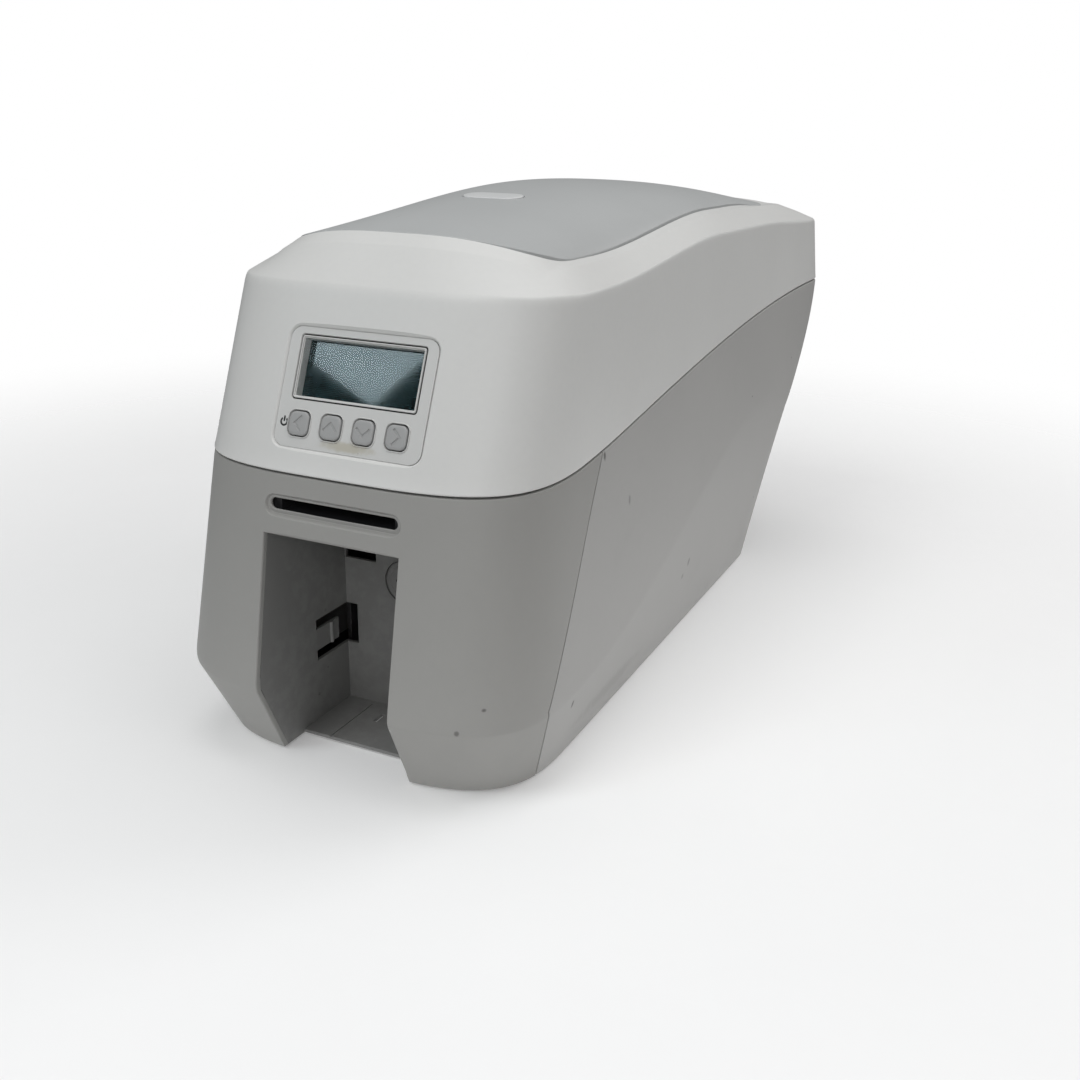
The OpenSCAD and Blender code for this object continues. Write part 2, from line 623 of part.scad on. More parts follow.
module feed_shaft(at, x0) {
    rod(at, 2.5, x0, 41);
    for (x = [-33.2, 31.2]) rod(at, 3.6, x, x + 2);
}
module feed_tyres(at) for (x = [-27, -7, 13]) tube(at, feed_r, 2.5, x, x + 14);
module feed_shaft_front() color("#c9ccd0") place() feed_shaft(feed_front_at, -55);
module feed_tyres_front() color("#232326") place() feed_tyres(feed_front_at);
module feed_pulley_front() color("#e8e6df") place() pulley(feed_front_at, feed_r, 2.5, -53);
module feed_shaft_rear() color("#c9ccd0") place() feed_shaft(feed_rear_at, -62);
module feed_tyres_rear() color("#232326") place() feed_tyres(feed_rear_at);
module feed_pulley_rear() color("#e8e6df") place() pulley(feed_rear_at, feed_r, 2.5, -60);

module idler_gear() color("#e8e6df") place() {
    gear(idler_at, idler_teeth, idler_phase, 2.5 + fit);
    tube(idler_at, 5, 2.5 + fit, gear_x + gear_t, -plate_x - plate_t - 0.4);
    tube(idler_at, 5, 2.5 + fit, gear_x - 3, gear_x);
}
module motor_pinion() color("#c7a24a") place() {
    across(gear_x, gear_x + gear_t) translate(pinion_at) gear_outline(pinion_teeth, pinion_phase);
    rod(pinion_at, 2.5, gear_x - 2, -26);
}

module pinch_roller(at) {
    rod(at, pinch_r, -34, 34);
    rod(at, 2, -39.5, 39.5);
}
module pinch_roller_front() color("#b4b7bb") place() pinch_roller([feed_front_at[0], pinch_z]);
module pinch_roller_rear() color("#b4b7bb") place() pinch_roller([feed_rear_at[0], pinch_z]);
module cleaning_roller() color("#7fa9c4") place() {
    rod(cleaning_at, feed_r, -29, 29);
    rod(cleaning_at, 2, -40, 40);
}

module spool(at, core, flange) {
    tube(at, core, core - 2.5, -33, 33);
    for (s = [-1, 1]) {
        rod(at, flange, s > 0 ? 31 : -33, s > 0 ? 33 : -31);
        rod(at, 4, s > 0 ? 33 : -40, s > 0 ? 40 : -33);
    }
}
module supply_spool() color("#3c3d40") place() spool(supply_at, 9, 14);
module supply_film() color("#4a2f6a") place() tube(supply_at, supply_r, 9, -29.5, 29.5);
module take_up_spool() color("#3c3d40") place() spool(take_up_at, 9, 11);
module take_up_film() color("#4a2f6a") place() tube(take_up_at, take_up_r, 9, -29.5, 29.5);

// The film between the rolls, a thin strip that dips under the print bar
module ribbon_web() color("#3b2a55") place() across(-29, 29) polygon([
    [take_up_at[0], take_up_at[1] - take_up_r - 0.7], [platen_at[0], path_z + 0.3],
    [supply_at[0], supply_at[1] - supply_r - 0.7], [supply_at[0], supply_at[1] - supply_r - 0.4],
    [platen_at[0], path_z + 0.6], [take_up_at[0], take_up_at[1] - take_up_r - 0.4]]);

// Cover

// Shape of the display panel's hole, its window and a key, as drawn on the leaning front
module panel_prism(grow, depth, h) on_front(panel_x, panel_mid, -depth)
    round_slab(panel_w + 2 * grow, panel_h + 2 * grow, 5 + grow, h);
function key_x(i) = keys_x + (i - 1.5) * key_pitch;

module lid_shell() color("#dcdfe0") place() union() {
    difference() {
        ring_wall(concat([skin_ring(2, 0, seam_gap / 2)], [for (s = [2.25, 2.5, 2.75, 3]) skin_ring(s)],
            [skin_ring(3.35, 0, 0.6, 1.4), skin_ring(3.72, 0, 1.1, 2.2), skin_ring(4)],
            [skin_ring(4, 0.6, -panel_drop), skin_ring(4, ledge, -panel_drop), skin_ring(4, ledge, -panel_drop - wall)],
            [skin_ring(3.6, wall + 1, -wall), skin_ring(3, wall, -1), skin_ring(2.5, wall),
                skin_ring(2, wall, seam_gap / 2)]));
        panel_prism(0.3, 8, 20);
        knuckle_room();
        for (s = [-1, 1]) translate([s * 63 - 4, body_len - 20, 170]) cube([8, 30, 18.5]);
    }
    for (s = [-1, 1], y = [150, 240, 330, 380]) hull() {
        translate([s * 61, y, 181]) cylinder(r = 3, h = 1, $fn = 16);
        translate([s * 63, y, rim_edge_z(y) - panel_drop - 1.5]) cylinder(r = 2.5, h = 1, $fn = 16);
    }
}

module top_panel() color("#b2b4b7") place() difference() {
    ring_stack(concat([for (r = [0.95, 0.6, 0.3, 0.08]) dome_ring(r, 1.4, -wall)],
        [skin_ring(4, 7, -panel_drop + 0.1), skin_ring(4, 1.4, -panel_drop + 0.1), skin_ring(4, 1.4, -0.2)],
        [for (r = [0.01, 0.03, 0.08, 0.16, 0.3, 0.5, 0.72, 0.95]) dome_ring(r, 1.4, 0)]));
    on_button() translate([0, 0, -10]) hull() for (x = [-button_half, button_half])
        translate([x, 0, 0]) cylinder(r = button_r + button_gap, h = 20, $fn = 32);
}

module display_bezel() color("#d3d6d7") place() difference() {
    union() {
        panel_prism(0, skin_depth - 1.2, skin_depth - 1.2 - panel_sink);
        panel_prism(2.4, skin_depth, 1.3);
    }
    on_front(panel_x, window_mid, -10) round_slab(window_w, window_h, 1.5, 20);
    for (i = [0:3]) on_front(key_x(i), keys_mid, -10) round_slab(key_w + 0.8, key_h + 0.8, 3, 20);
}
module display_window() color("#8fa9b3") place() on_front(panel_x, window_mid, -3)
    round_slab(window_w - 0.2, window_h - 0.2, 1.4, 1.2);
module lcd_module() color("#15282c") place() {
    on_front(panel_x, window_mid, -8) translate([-window_w / 2 + 0.6, -window_h / 2 + 0.6, 0])
        cube([window_w - 1.2, window_h - 1.2, 4.4]);
    on_front(panel_x, window_mid, -8) translate([-31.5, -15, 0]) cube([63, 30, 2.4]);
}
module keypad_board() color("#2d6a45") place() {
    on_front(panel_x, panel_mid, -9.6) translate([-36, -26, 0]) cube([72, 52, 1.6]);
    for (i = [0:3]) on_front(key_x(i), keys_mid, -8.2) {
        translate([-3, -3, 0]) cube([6, 6, 0.8]);
        cylinder(r = 1.6, h = 1.7 - key_travel);
    }
    for (x = [-34, 34], v = [-24, 24]) on_front(panel_x + x, panel_mid + v, -8.2) cylinder(r = 1.5, h = 3);
}

module key_cap(i) on_front(key_x(i), keys_mid, -6.3) {
    round_slab(key_w, key_h, 2.6, 5.9);
    translate([-key_w / 2 - 0.9, -key_h / 2 - 0.9, 0]) cube([key_w + 1.8, key_h + 1.8, 0.8]);
}
module key_left() color("#a9abad") place() key_cap(0);
module key_up() color("#a9abad") place() key_cap(1);
module key_down() color("#a9abad") place() key_cap(2);
module key_right() color("#a9abad") place() key_cap(3);

module lid_frame() color("#2e3033") place() {
    difference() {
        union() {
            translate([-67, 100, 178]) cube([134, 328, 3]);
            for (x = [-67, 65]) translate([x, 100, 172]) cube([2, 300, 7]);
            for (y = [100, 205, 262, 340]) translate([-60, y, 180]) cube([120, 2, 9]);
        }
        for (s = [-1, 1]) translate([s * 43 - 4, 108, 170]) cube([8, 34, 30]);
        translate([-30, 272, 170]) cube([60, 60, 30]);
        translate([-30, 144, 170]) cube([60, 54, 30]);
        for (s = [-1, 1]) translate([s * 50 - 6, 214, 170]) cube([12, 40, 30]);
    }
    for (s = [-1, 1]) difference() {
        across(s > 0 ? 49 : -52, s > 0 ? 52 : -49) polygon([[116, 180.5], [146, 180.5], [137, 202], [123, 202]]);
        rod(latch_at, latch_r + fit, -60, 60);
    }
}

module printhead_bracket() color("#a7abb0") place() {
    translate([-31.5, 212, 176]) cube([63, 36, 2]);
    for (s = [-1, 1]) across(s > 0 ? 29.7 : -31.5, s > 0 ? 31.5 : -29.7)
        polygon([[212, 176.5], [248, 176.5], [246, 130], [222, 130]]);
}
module heat_sink() color("#8d9196") place() {
    translate([-29.7, 224, 124.4]) cube([59.4, 20, 9]);
    for (i = [0:4]) translate([-29.7, 224 + i * 4.6, 133]) cube([59.4, 1.6, 18]);
}
module print_bar() color("#e9e4d8") place() {
    translate([-29, 226, 122]) cube([58, 14, 2.4]);
    rod([platen_at[0], 122], 1.2, -28, 28);
}

module latch_hooks() color("#c4c7ca") place() for (s = [-1, 1]) difference() {
    across(s > 0 ? hook_x : -hook_x - hook_t, s > 0 ? hook_x + hook_t : -hook_x)
        polygon([[124, 197], [126, 201.5], [134, 200.5], [135.5, 194], [128.4, 180], [128.4, 130.6], [130.6, 130.6],
            [130.6, 127], [127, 125.5], [123, 127], [123, 182]]);
    rod(latch_at, latch_r, -60, 60);
}
module latch_bar() color("#4a4c50") place() {
    rod(latch_at, latch_r, -54, 54);
    across(-7, 7) polygon([[126, 192], [131, 190.5], [163, 208.5], [163, 211.6], [154, 211.6], [128, 201], [125, 198]]);
}

module release_button() color("#e2e4e4") place() on_button() {
    translate([0, 0, -5.8]) stadium(button_half, button_r, 6.1);
    translate([0, 0, -5.8]) stadium(button_half, button_r + 1.8, 1.8);
    translate([0, 0, -26]) cylinder(r = 3, h = 21);
}

base_shell();
front_fascia();
hopper_bay();
bay_plug();
slot_guide();
base_tray();
rubber_feet();
chassis_plate_left();
chassis_plate_right();
card_deck();
exit_chute();
shaft_bushes();
idler_stud();
drive_motor();
drive_belts();
main_board();
socket_panel();
power_inlet();
usb_socket();
network_socket();
hinge_brackets();
hinge_pins();
chassis_screws();
ribbon_web();
platen_shaft();
platen_rubber();
platen_gear();
feed_shaft_front();
feed_tyres_front();
feed_pulley_front();
feed_shaft_rear();
feed_tyres_rear();
feed_pulley_rear();
idler_gear();
motor_pinion();
pinch_roller_front();
pinch_roller_rear();
cleaning_roller();
supply_spool();
supply_film();
take_up_spool();
take_up_film();
lid_shell();
top_panel();
display_bezel();
display_window();
lcd_module();
keypad_board();
lid_frame();
hinge_arms();
printhead_bracket();
heat_sink();
print_bar();
latch_bar();
latch_hooks();
release_button();
key_left();
key_up();
key_down();
key_right();
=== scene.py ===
"""Desktop card printer with a hinged cover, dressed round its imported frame.

Shapes are worked out in millimetres: x across, y in depth behind the chin, z up from the table.
to_frame turns such a place into metres in the object's own frame.
"""
import json
import math

import bmesh
import bpy
from bpy.props import FloatProperty, FloatVectorProperty, PointerProperty
from mathutils import Matrix, Vector

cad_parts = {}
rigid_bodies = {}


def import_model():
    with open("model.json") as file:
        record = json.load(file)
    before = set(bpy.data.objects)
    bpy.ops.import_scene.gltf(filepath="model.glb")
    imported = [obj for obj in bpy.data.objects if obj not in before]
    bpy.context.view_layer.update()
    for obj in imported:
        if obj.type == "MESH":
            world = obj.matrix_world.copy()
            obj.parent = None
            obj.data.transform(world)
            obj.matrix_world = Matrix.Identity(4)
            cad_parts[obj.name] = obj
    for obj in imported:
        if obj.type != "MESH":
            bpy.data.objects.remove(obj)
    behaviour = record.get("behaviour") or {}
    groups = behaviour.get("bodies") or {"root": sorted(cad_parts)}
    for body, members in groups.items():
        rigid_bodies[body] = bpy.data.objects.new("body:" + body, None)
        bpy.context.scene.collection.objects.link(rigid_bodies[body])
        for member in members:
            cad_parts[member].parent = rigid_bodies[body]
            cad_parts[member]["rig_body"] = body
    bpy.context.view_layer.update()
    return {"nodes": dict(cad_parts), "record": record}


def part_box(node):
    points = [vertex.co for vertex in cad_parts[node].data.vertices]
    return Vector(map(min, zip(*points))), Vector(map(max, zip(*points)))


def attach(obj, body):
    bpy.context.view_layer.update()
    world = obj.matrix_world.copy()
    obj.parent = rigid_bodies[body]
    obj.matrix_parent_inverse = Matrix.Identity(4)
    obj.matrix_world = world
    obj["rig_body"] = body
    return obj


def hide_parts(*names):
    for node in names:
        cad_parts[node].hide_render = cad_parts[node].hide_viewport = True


bl_info = {
    "name": "Card Printer",
    "version": (1, 0, 0),
    "blender": (4, 5, 0),
    "location": "View3D > Sidebar > Card Printer",
    "description": "Builds a desktop card printer with a hinged cover from its packed frame",
    "category": "Add Mesh",
}

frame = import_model()

MM = 0.001

# Driving sizes of the housing, as in the part's source
BODY_LEN = 456.0
WALL = 2.6
CHIN_Z = 38.0
CREASE_TOP_Z = 115.0
SEAM_FRONT_Z = 132.5
SEAM_REAR_Z = 177.0
SEAM_BACK = 16.9
SEAM_GAP = 0.9
SHOULDER_Z = 206.8
SHOULDER_BACK = 46.8
CREST_FRONT_Z = 227.5
CROWN_Z = 243.0
FOOT_Z = 1.2
BAY_HALF = 33.2
BAY_TOP = 106.6
PATH_Z = 119.4
SLOT_W = 62.4
SLOT_H = 5.0
HINGE_AT = (455.0, 177.4)
CATCH_AT = (133.0, 133.0)
SCREW_HEAD = 1.6
# Distance of the hinges from the middle
HINGE_X = 63
# Top panel's gap to the rim, lips beside the bay's mouth, and the plug's place on the bay's back wall
PANEL_INSET = 1.4
LIP_X = 34.5
PLUG_Y = 71.0
PLUG_Z = 69.0

# Depth, behind the chin, of the frame's origin
BODY_MID = BODY_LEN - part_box("lid_shell")[1].y / MM
# How wide the blocks are that cut right across the body
ACROSS = 120

# Display panel on the leaning front: sizes and places up the front
PANEL_X = 2.2
PANEL_W = 70.8
PANEL_H = 50.4
PANEL_MID = 37.2
PANEL_SINK = 1.3
PANEL_RADIUS = 5.2
WINDOW_W = 60.6
WINDOW_H = 27.5
WINDOW_MID = 45.8
KEYS_X = 1.9
KEY_PITCH = 15.8
KEY_W = 9.8
KEY_H = 10.2
KEY_RADIUS = 3.0
KEY_GAP = 0.4
KEYS_MID = 22.0

# Release button on the top panel
BUTTON_Y = 158.0
BUTTON_R = 7.5
BUTTON_HALF = 8.0
BUTTON_GAP = 0.4

# Rows of posts under the cover's roof and of clips under the top panel
POST_ROW = (150, 240, 330, 380)
CLIP_ROW = (125, 195, 265, 335)
CLIP_X = 53

# Levels of the housing: half widths in front and at the rear, front and rear depth, then depth and power
# of the front and of the rear corner curve
LEVELS = (
    (82.0, 82.0, 17.0, 380.0, 66.0, 3.6, 24.0, 4.0),
    (91.2, 97.5, 0.0, 405.0, 72.0, 3.66, 26.0, 4.0),
    (85.0, 98.5, SEAM_BACK, 456.0, 72.0, 3.6, 28.0, 4.0),
    (83.5, 95.5, SHOULDER_BACK, 451.0, 64.0, 3.6, 30.0, 4.0),
    (67.0, 73.0, 70.0, 408.0, 42.0, 3.4, 36.0, 3.4),
)
FOOT, CHIN, SEAM, SHOULDER, RIM = range(5)
# How far each creased level is rounded, as a share of the bands beside it
ROUNDING = {CHIN: 0.05, SHOULDER: 0.05}


def mix(a, b, t):
    return a + (b - a) * t


def clamp01(t):
    return min(1.0, max(0.0, t))


def smooth(t):
    c = clamp01(t)
    return c * c * (3 - 2 * c)


def swell(y, start, length):
    """0 before the start and 1 beyond the length, smooth between them."""
    return smooth((y - start) / length)


def sine(share):
    """Sine of a share of a right angle."""
    return math.sin(math.pi / 2 * share)


# Leading lines of the housing, from the depth behind the chin

def crease_z(y):
    return CHIN_Z + (CREASE_TOP_Z - CHIN_Z) * swell(y, 60, 285) - 17 * swell(y, 340, 65)


def seam_z(y):
    """Nearly level in front, then a rounded turn into the rise to the rear."""
    q = (y - 90) / 360
    rise = clamp01((q + math.sqrt(q * q + 0.002)) / 2)
    return SEAM_FRONT_Z + 0.03 * min(y - SEAM_BACK, 80) + (SEAM_REAR_Z - SEAM_FRONT_Z - 2.4) * sine(rise)


def shoulder_line_z(y):
    return SHOULDER_Z + 13 * swell(y, 95, 150) - 4 * swell(y, 320, 110)


def rim_edge_z(y):
    return 217.5 + 11.5 * swell(y, 122, 150) - 4 * swell(y, 310, 100)


def rim_z(x, y):
    """The rim with its bulges across the front and the rear."""
    bulge = 1 - min(1.0, abs(x) / 67) ** 3
    if y < 200:
        return rim_edge_z(y) + 10 * bulge * (1 - swell(y, 80, 32))
    return rim_edge_z(y) + 4 * bulge * swell(y, 385, 20)


def crest_z(y):
    """The top panel along its middle."""
    rise = sine(clamp01((y - 70) / 175))
    return CREST_FRONT_Z + (CROWN_Z - CREST_FRONT_Z) * rise - 15 * clamp01((y - 245) / 165) ** 2


def dome_z(x, y):
    """Height of the top panel."""
    edge = rim_edge_z(y)
    half = mix(65.6, 71.6, clamp01((y - 112) / 224))
    return edge + max(0.0, crest_z(y) - edge) * (1 - min(1.0, abs(x) / half) ** 2.5) ** 0.75


def level_z(level, x, y):
    if level == FOOT:
        return FOOT_Z
    if level == CHIN:
        return crease_z(y)
    if level == SEAM:
        return seam_z(y)
    if level == SHOULDER:
        return shoulder_line_z(y)
    return rim_z(x, y)


def level_between(band, t):
    """Level curve at the share t of a band; the rear face bulges between the crease and the seam."""
    shares = [t] * 8
    if band == CHIN:
        shares[3] = sine(t)
    return [mix(a, b, s) for a, b, s in zip(LEVELS[band], LEVELS[band + 1], shares)]


def inset_level(level, d):
    front_half, rear_half, front_y, rear_y, front_depth, front_power, rear_depth, rear_power = level
    return (front_half - d, rear_half - d, front_y + d, rear_y - d,
            front_depth - d, front_power, rear_depth - d, rear_power)


def level_point(level, column):
    """Place on a level curve of a column: ("x", mm), ("front", share), ("side", share) or ("rear", share)."""
    front_half, rear_half, front_y, rear_y, front_depth, front_power, rear_depth, rear_power = level
    kind, value = column[0], column[1]
    if kind == "x":
        drop = (1 - min(1.0, value / front_half) ** front_power) ** (1 / front_power)
        return value, front_y + front_depth * (1 - drop)
    if kind == "front":
        first = math.asin((column[2] / front_half) ** (front_power / 2))
        angle = mix(first, math.pi / 2, value)
        x = front_half * math.sin(angle) ** (2 / front_power)
        return x, front_y + front_depth * (1 - max(0.0, math.cos(angle)) ** (2 / front_power))
    if kind == "side":
        return mix(front_half, rear_half, value), mix(front_y + front_depth, rear_y - rear_depth, value)
    angle = math.pi / 2 * value
    x = rear_half * max(0.0, math.cos(angle)) ** (2 / rear_power)
    return x, rear_y - rear_depth + rear_depth * math.sin(angle) ** (2 / rear_power)


def plain_skin(s, column, inset=0.0, lift=0.0, rear=0.0):
    """Place on the housing, moved up by lift and by as much as rear towards the back."""
    band = min(SHOULDER, int(s))
    t = s - band
    x, y = level_point(inset_level(level_between(band, t), inset), column)
    z = mix(level_z(band, x, y), level_z(band + 1, x, y), t)
    return Vector((x, y, z + lift + rear * swell(y, 320, 70)))


def skin_point(s, column, *offsets):
    """Place on the housing: s runs from 0 at the foot to 4 at the rim, with the creases rounded."""
    for level, reach in ROUNDING.items():
        if abs(s - level) < reach:
            u = (s - level + reach) / (2 * reach)
            low = plain_skin(level - reach, column, *offsets)
            mid = plain_skin(level, column, *offsets)
            high = plain_skin(level + reach, column, *offsets)
            return low * (1 - u) ** 2 + mid * 2 * u * (1 - u) + high * u * u
    return plain_skin(s, column, *offsets)


def steps(a, b, count):
    return [mix(a, b, i / count) for i in range(count)]


def half_columns(x_stops, front=26, side=60, rear=20):
    """Columns of the right half, from the front centre to the rear centre."""
    last = x_stops[-1]
    return ([("x", x) for x in x_stops]
            + [("front", (i + 1) / front, last) for i in range(front)]
            + [("side", (i + 1) / side) for i in range(side)]
            + [("rear", (i + 1) / rear) for i in range(rear)])


def to_frame(p):
    return Vector((p[0] * MM, (p[1] - BODY_MID) * MM, p[2] * MM))


# Meshes

def link_new(name, data):
    """A new object in the scene with this data."""
    obj = bpy.data.objects.new(name, data)
    bpy.context.scene.collection.objects.link(obj)
    return obj


def new_piece(name, points, faces):
    """An object from points in millimetres."""
    mesh = bpy.data.meshes.new(name)
    mesh.from_pydata([to_frame(p) for p in points], [], faces)
    return link_new(name, mesh)


def settle(obj):
    """Makes the result of the modifiers the object's plain mesh."""
    bpy.context.view_layer.update()
    graph = bpy.context.evaluated_depsgraph_get()
    mesh = bpy.data.meshes.new_from_object(obj.evaluated_get(graph))
    old = obj.data
    obj.modifiers.clear()
    obj.data = mesh
    bpy.data.meshes.remove(old)
    return obj


def edit(obj, work):
    """Runs work on the object's mesh as a bmesh."""
    bm = bmesh.new()
    bm.from_mesh(obj.data)
    work(bm)
    bm.to_mesh(obj.data)
    bm.free()
    obj.data.update()
    return obj


def remove(obj):
    mesh = obj.data
    bpy.data.objects.remove(obj)
    bpy.data.meshes.remove(mesh)


def round_edges(obj, radius, segments=2, angle=35):
    mod = obj.modifiers.new("Rounding", "BEVEL")
    mod.width = radius * MM
    mod.segments = segments
    mod.limit_method = "ANGLE"
    mod.angle_limit = math.radians(angle)
    mod.use_clamp_overlap = True
    mod.loop_slide = False
    return settle(obj)


def combine(obj, *others, how="DIFFERENCE"):
    for other in others:
        mod = obj.modifiers.new("Cut", "BOOLEAN")
        mod.operation = how
        mod.solver = "EXACT"
        mod.object = other
    settle(obj)
    for other in others:
        remove(other)
    return obj


def shade(obj, angle=32):
    """Smooth faces that meet at edges sharper than the angle."""
    mesh = obj.data
    mesh.shade_smooth()
    mesh.set_sharp_from_angle(angle=math.radians(angle))
    mod = obj.modifiers.new("Weighting", "WEIGHTED_NORMAL")
    mod.keep_sharp = True
    return settle(obj)


def dress(obj, material, body, slot, *nodes):
    """Gives a finished piece its material and its body, and hides the CAD nodes that it stands for; slot is
    not used.
    """
    obj.data.materials.clear()
    obj.data.materials.append(material)
    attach(obj, body)
    if nodes:
        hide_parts(*nodes)
    return obj


def loft(name, rings, closed_ends=True):
    """A skin through rings of equal length, with a flat face on each end."""
    n = len(rings[0])
    points = [p for ring in rings for p in ring]
    faces = []
    for k in range(len(rings) - 1):
        for i in range(n):
            j = (i + 1) % n
            faces.append((k * n + i, k * n + j, (k + 1) * n + j, (k + 1) * n + i))
    if closed_ends:
        faces.append(tuple(range(n - 1, -1, -1)))
        faces.append(tuple((len(rings) - 1) * n + i for i in range(n)))
    return edit(new_piece(name, points, faces), face_outwards)


def face_outwards(bm):
    bmesh.ops.recalc_face_normals(bm, faces=bm.faces)


def closed_skin(name, rings, weld):
    """A skin that closes on its first ring, with points nearer than weld, in millimetres, made one."""
    def close(bm):
        bmesh.ops.remove_doubles(bm, verts=bm.verts, dist=weld * MM)
        face_outwards(bm)
    return edit(loft(name, rings + [rings[0]], closed_ends=False), close)


def circle(count):
    """Points of a circle of radius one."""
    angles = [2 * math.pi * i / count for i in range(count)]
    return [(math.cos(a), math.sin(a)) for a in angles]


def rounded_outline(width, height, radius, corner_steps=12):
    """Outline of a rectangle with rounded corners, about its centre."""
    outline = []
    for quarter_turn, (sx, sy) in enumerate(((1, 1), (-1, 1), (-1, -1), (1, -1))):
        for i in range(corner_steps + 1):
            angle = math.pi / 2 * (quarter_turn + i / corner_steps)
            outline.append((sx * (width / 2 - radius) + radius * math.cos(angle),
                            sy * (height / 2 - radius) + radius * math.sin(angle)))
    return outline


LEAN = math.atan((SHOULDER_BACK - SEAM_BACK) / (SHOULDER_Z - SEAM_FRONT_Z))
FRONT_PLACE = (Matrix.Translation((0, SEAM_BACK, SEAM_FRONT_Z))
               @ Matrix.Rotation(math.pi / 2 - LEAN, 4, "X"))


def on_front(x, up, out):
    """Place on the leaning front of the cover: across, up the front and out of it."""
    return FRONT_PLACE @ Vector((x, up, out))


def front_slab(name, x, up, sections):
    """A rounded slab on the leaning front; each section is (out, width, height, radius)."""
    rings = []
    for out, width, height, radius in sections:
        rings.append([on_front(x + px, up + py, out) for px, py in rounded_outline(width, height, radius)])
    return loft(name, rings)


def key_x(index):
    return KEYS_X + (index - 1.5) * KEY_PITCH


def turned(name, at, sections, sides=48):
    """A turned piece along x at a place given as depth and height; each section is (x, radius)."""
    return loft(name, [[(x, at[0] + r * cy, at[1] + r * cz) for cy, cz in circle(sides)]
                       for x, r in sections])


def pillar(name, stations, sides):
    """An upright round piece; a station is (x, y, z, radius)."""
    return shade(loft(name, [[(x + r * cx, y + r * cy, z) for cx, cy in circle(sides)]
                             for x, y, z, r in stations]))


def block(name, low, high):
    """A plain box between two corners, used to cut other pieces."""
    corners = ((low[0], low[1]), (high[0], low[1]), (high[0], high[1]), (low[0], high[1]))
    return loft(name, [[(x, y, z) for x, y in corners] for z in (low[2], high[2])])


def prism_x(name, outline, x0, x1):
    """A prism across the body from a side view drawn as depth and height."""
    return loft(name, [[(x, y, z) for y, z in outline] for x in (x0, x1)])


def prism_y(name, outline, y0, y1, centre=(0.0, 0.0)):
    """A prism along the depth from an outline drawn as across and up."""
    return loft(name, [[(centre[0] + x, y, centre[1] + z) for x, z in outline] for y in (y0, y1)])


def joined(name, objects):
    """One object from several closed shells."""
    bm = bmesh.new()
    for obj in objects:
        bm.from_mesh(obj.data)
        remove(obj)
    mesh = bpy.data.meshes.new(name)
    bm.to_mesh(mesh)
    bm.free()
    return link_new(name, mesh)


def refined(node, radius=0.25, segments=2, name=None):
    """A smooth copy of a CAD node with its edges rounded."""
    obj = link_new(name or node + "_finish", frame["nodes"][node].data.copy())

    def clean(bm):
        bmesh.ops.remove_doubles(bm, verts=bm.verts, dist=2e-6)
        bmesh.ops.dissolve_limit(bm, angle_limit=math.radians(0.4), verts=bm.verts, edges=bm.edges)
        face_outwards(bm)
    edit(obj, clean)
    if radius:
        round_edges(obj, radius, segments)
    return shade(obj)


# Housing

def ring_points(ring, columns):
    """One closed ring of the housing; a ring is s, then the inset, lift and rear of plain_skin."""
    half = [skin_point(ring[0], c, *ring[1:]) for c in columns]
    return half + [Vector((-p.x, p.y, p.z)) for p in reversed(half[1:-1])]


def skin_wall(name, rings, columns):
    """A closed wall through rings that go up the outside and come back down the inside."""
    return closed_skin(name, [ring_points(ring, columns) for ring in rings], 0.005)


def front_out(x, up):
    """How far the cover's skin stands out of the leaning plane, negative towards the corners."""
    place = on_front(x, up, 0)
    low, high = seam_z(SEAM_BACK), shoulder_line_z(SHOULDER_BACK)
    skin = skin_point(SEAM + (place.z - low) / (high - low), ("x", abs(x)))
    return (FRONT_PLACE.inverted() @ Vector((x, skin.y, skin.z))).z


def face_back(x, z):
    """Depth of the base's front face."""
    if z < CHIN_Z:
        s = (z - FOOT_Z) / (CHIN_Z - FOOT_Z)
    else:
        s = CHIN + (z - CHIN_Z) / (SEAM_FRONT_Z - CHIN_Z)
    return skin_point(max(0.0, s), ("x", abs(x))).y


# How far out a softened edge of an opening stands and how much wider it is there, as shares of its size
FLARE = ((0.22, 1.6), (-0.2, 1.0), (-0.65, 0.5), (-1.2, 0.16), (-1.8, 0.0))


def flared_front(name, x, up, width, height, radius, roll, depth):
    """A cutter for an opening in the cover's front, whose edge it rounds by about the size roll."""
    stops = [(4.0, 4.0 + 1.6 * roll)] + [(out * roll, grow * roll) for out, grow in FLARE] + [(-depth, 0.0)]
    rings = []
    for out, grow in stops:
        ring = []
        for px, py in rounded_outline(width + 2 * grow, height + 2 * grow, radius + grow):
            skin = front_out(x + px, up + py) if out > -depth else 0.0
            ring.append(on_front(x + px, up + py, out + skin))
        rings.append(ring)
    return loft(name, rings)


def stadium(half, radius, sides=16):
    """Outline of a long hole with round ends, along x."""
    outline = []
    for i in range(2 * (sides + 1)):
        end = 1 if i <= sides else -1
        angle = math.pi * (i if end > 0 else i - 1) / sides - math.pi / 2
        outline.append((end * half + radius * math.cos(angle), radius * math.sin(angle)))
    return outline


# Hand-feed slot: how far behind the front face, how much wider and how much lower each ring is; the rings
# of the throat are that far behind the chin
SLOT_RIM = ((-6.0, 6.0, 0.0), (-0.3, 2.5, 0.3), (0.25, 1.95, 0.3), (0.7, 1.75, 0.3))
SLOT_THROAT = ((16.2, 1.55, 0.3), (16.4, 1.3, 0.25), (16.4, 0.35, 0.0), (16.75, 0.0, 0.0), (40.0, 0.0, 0.0))


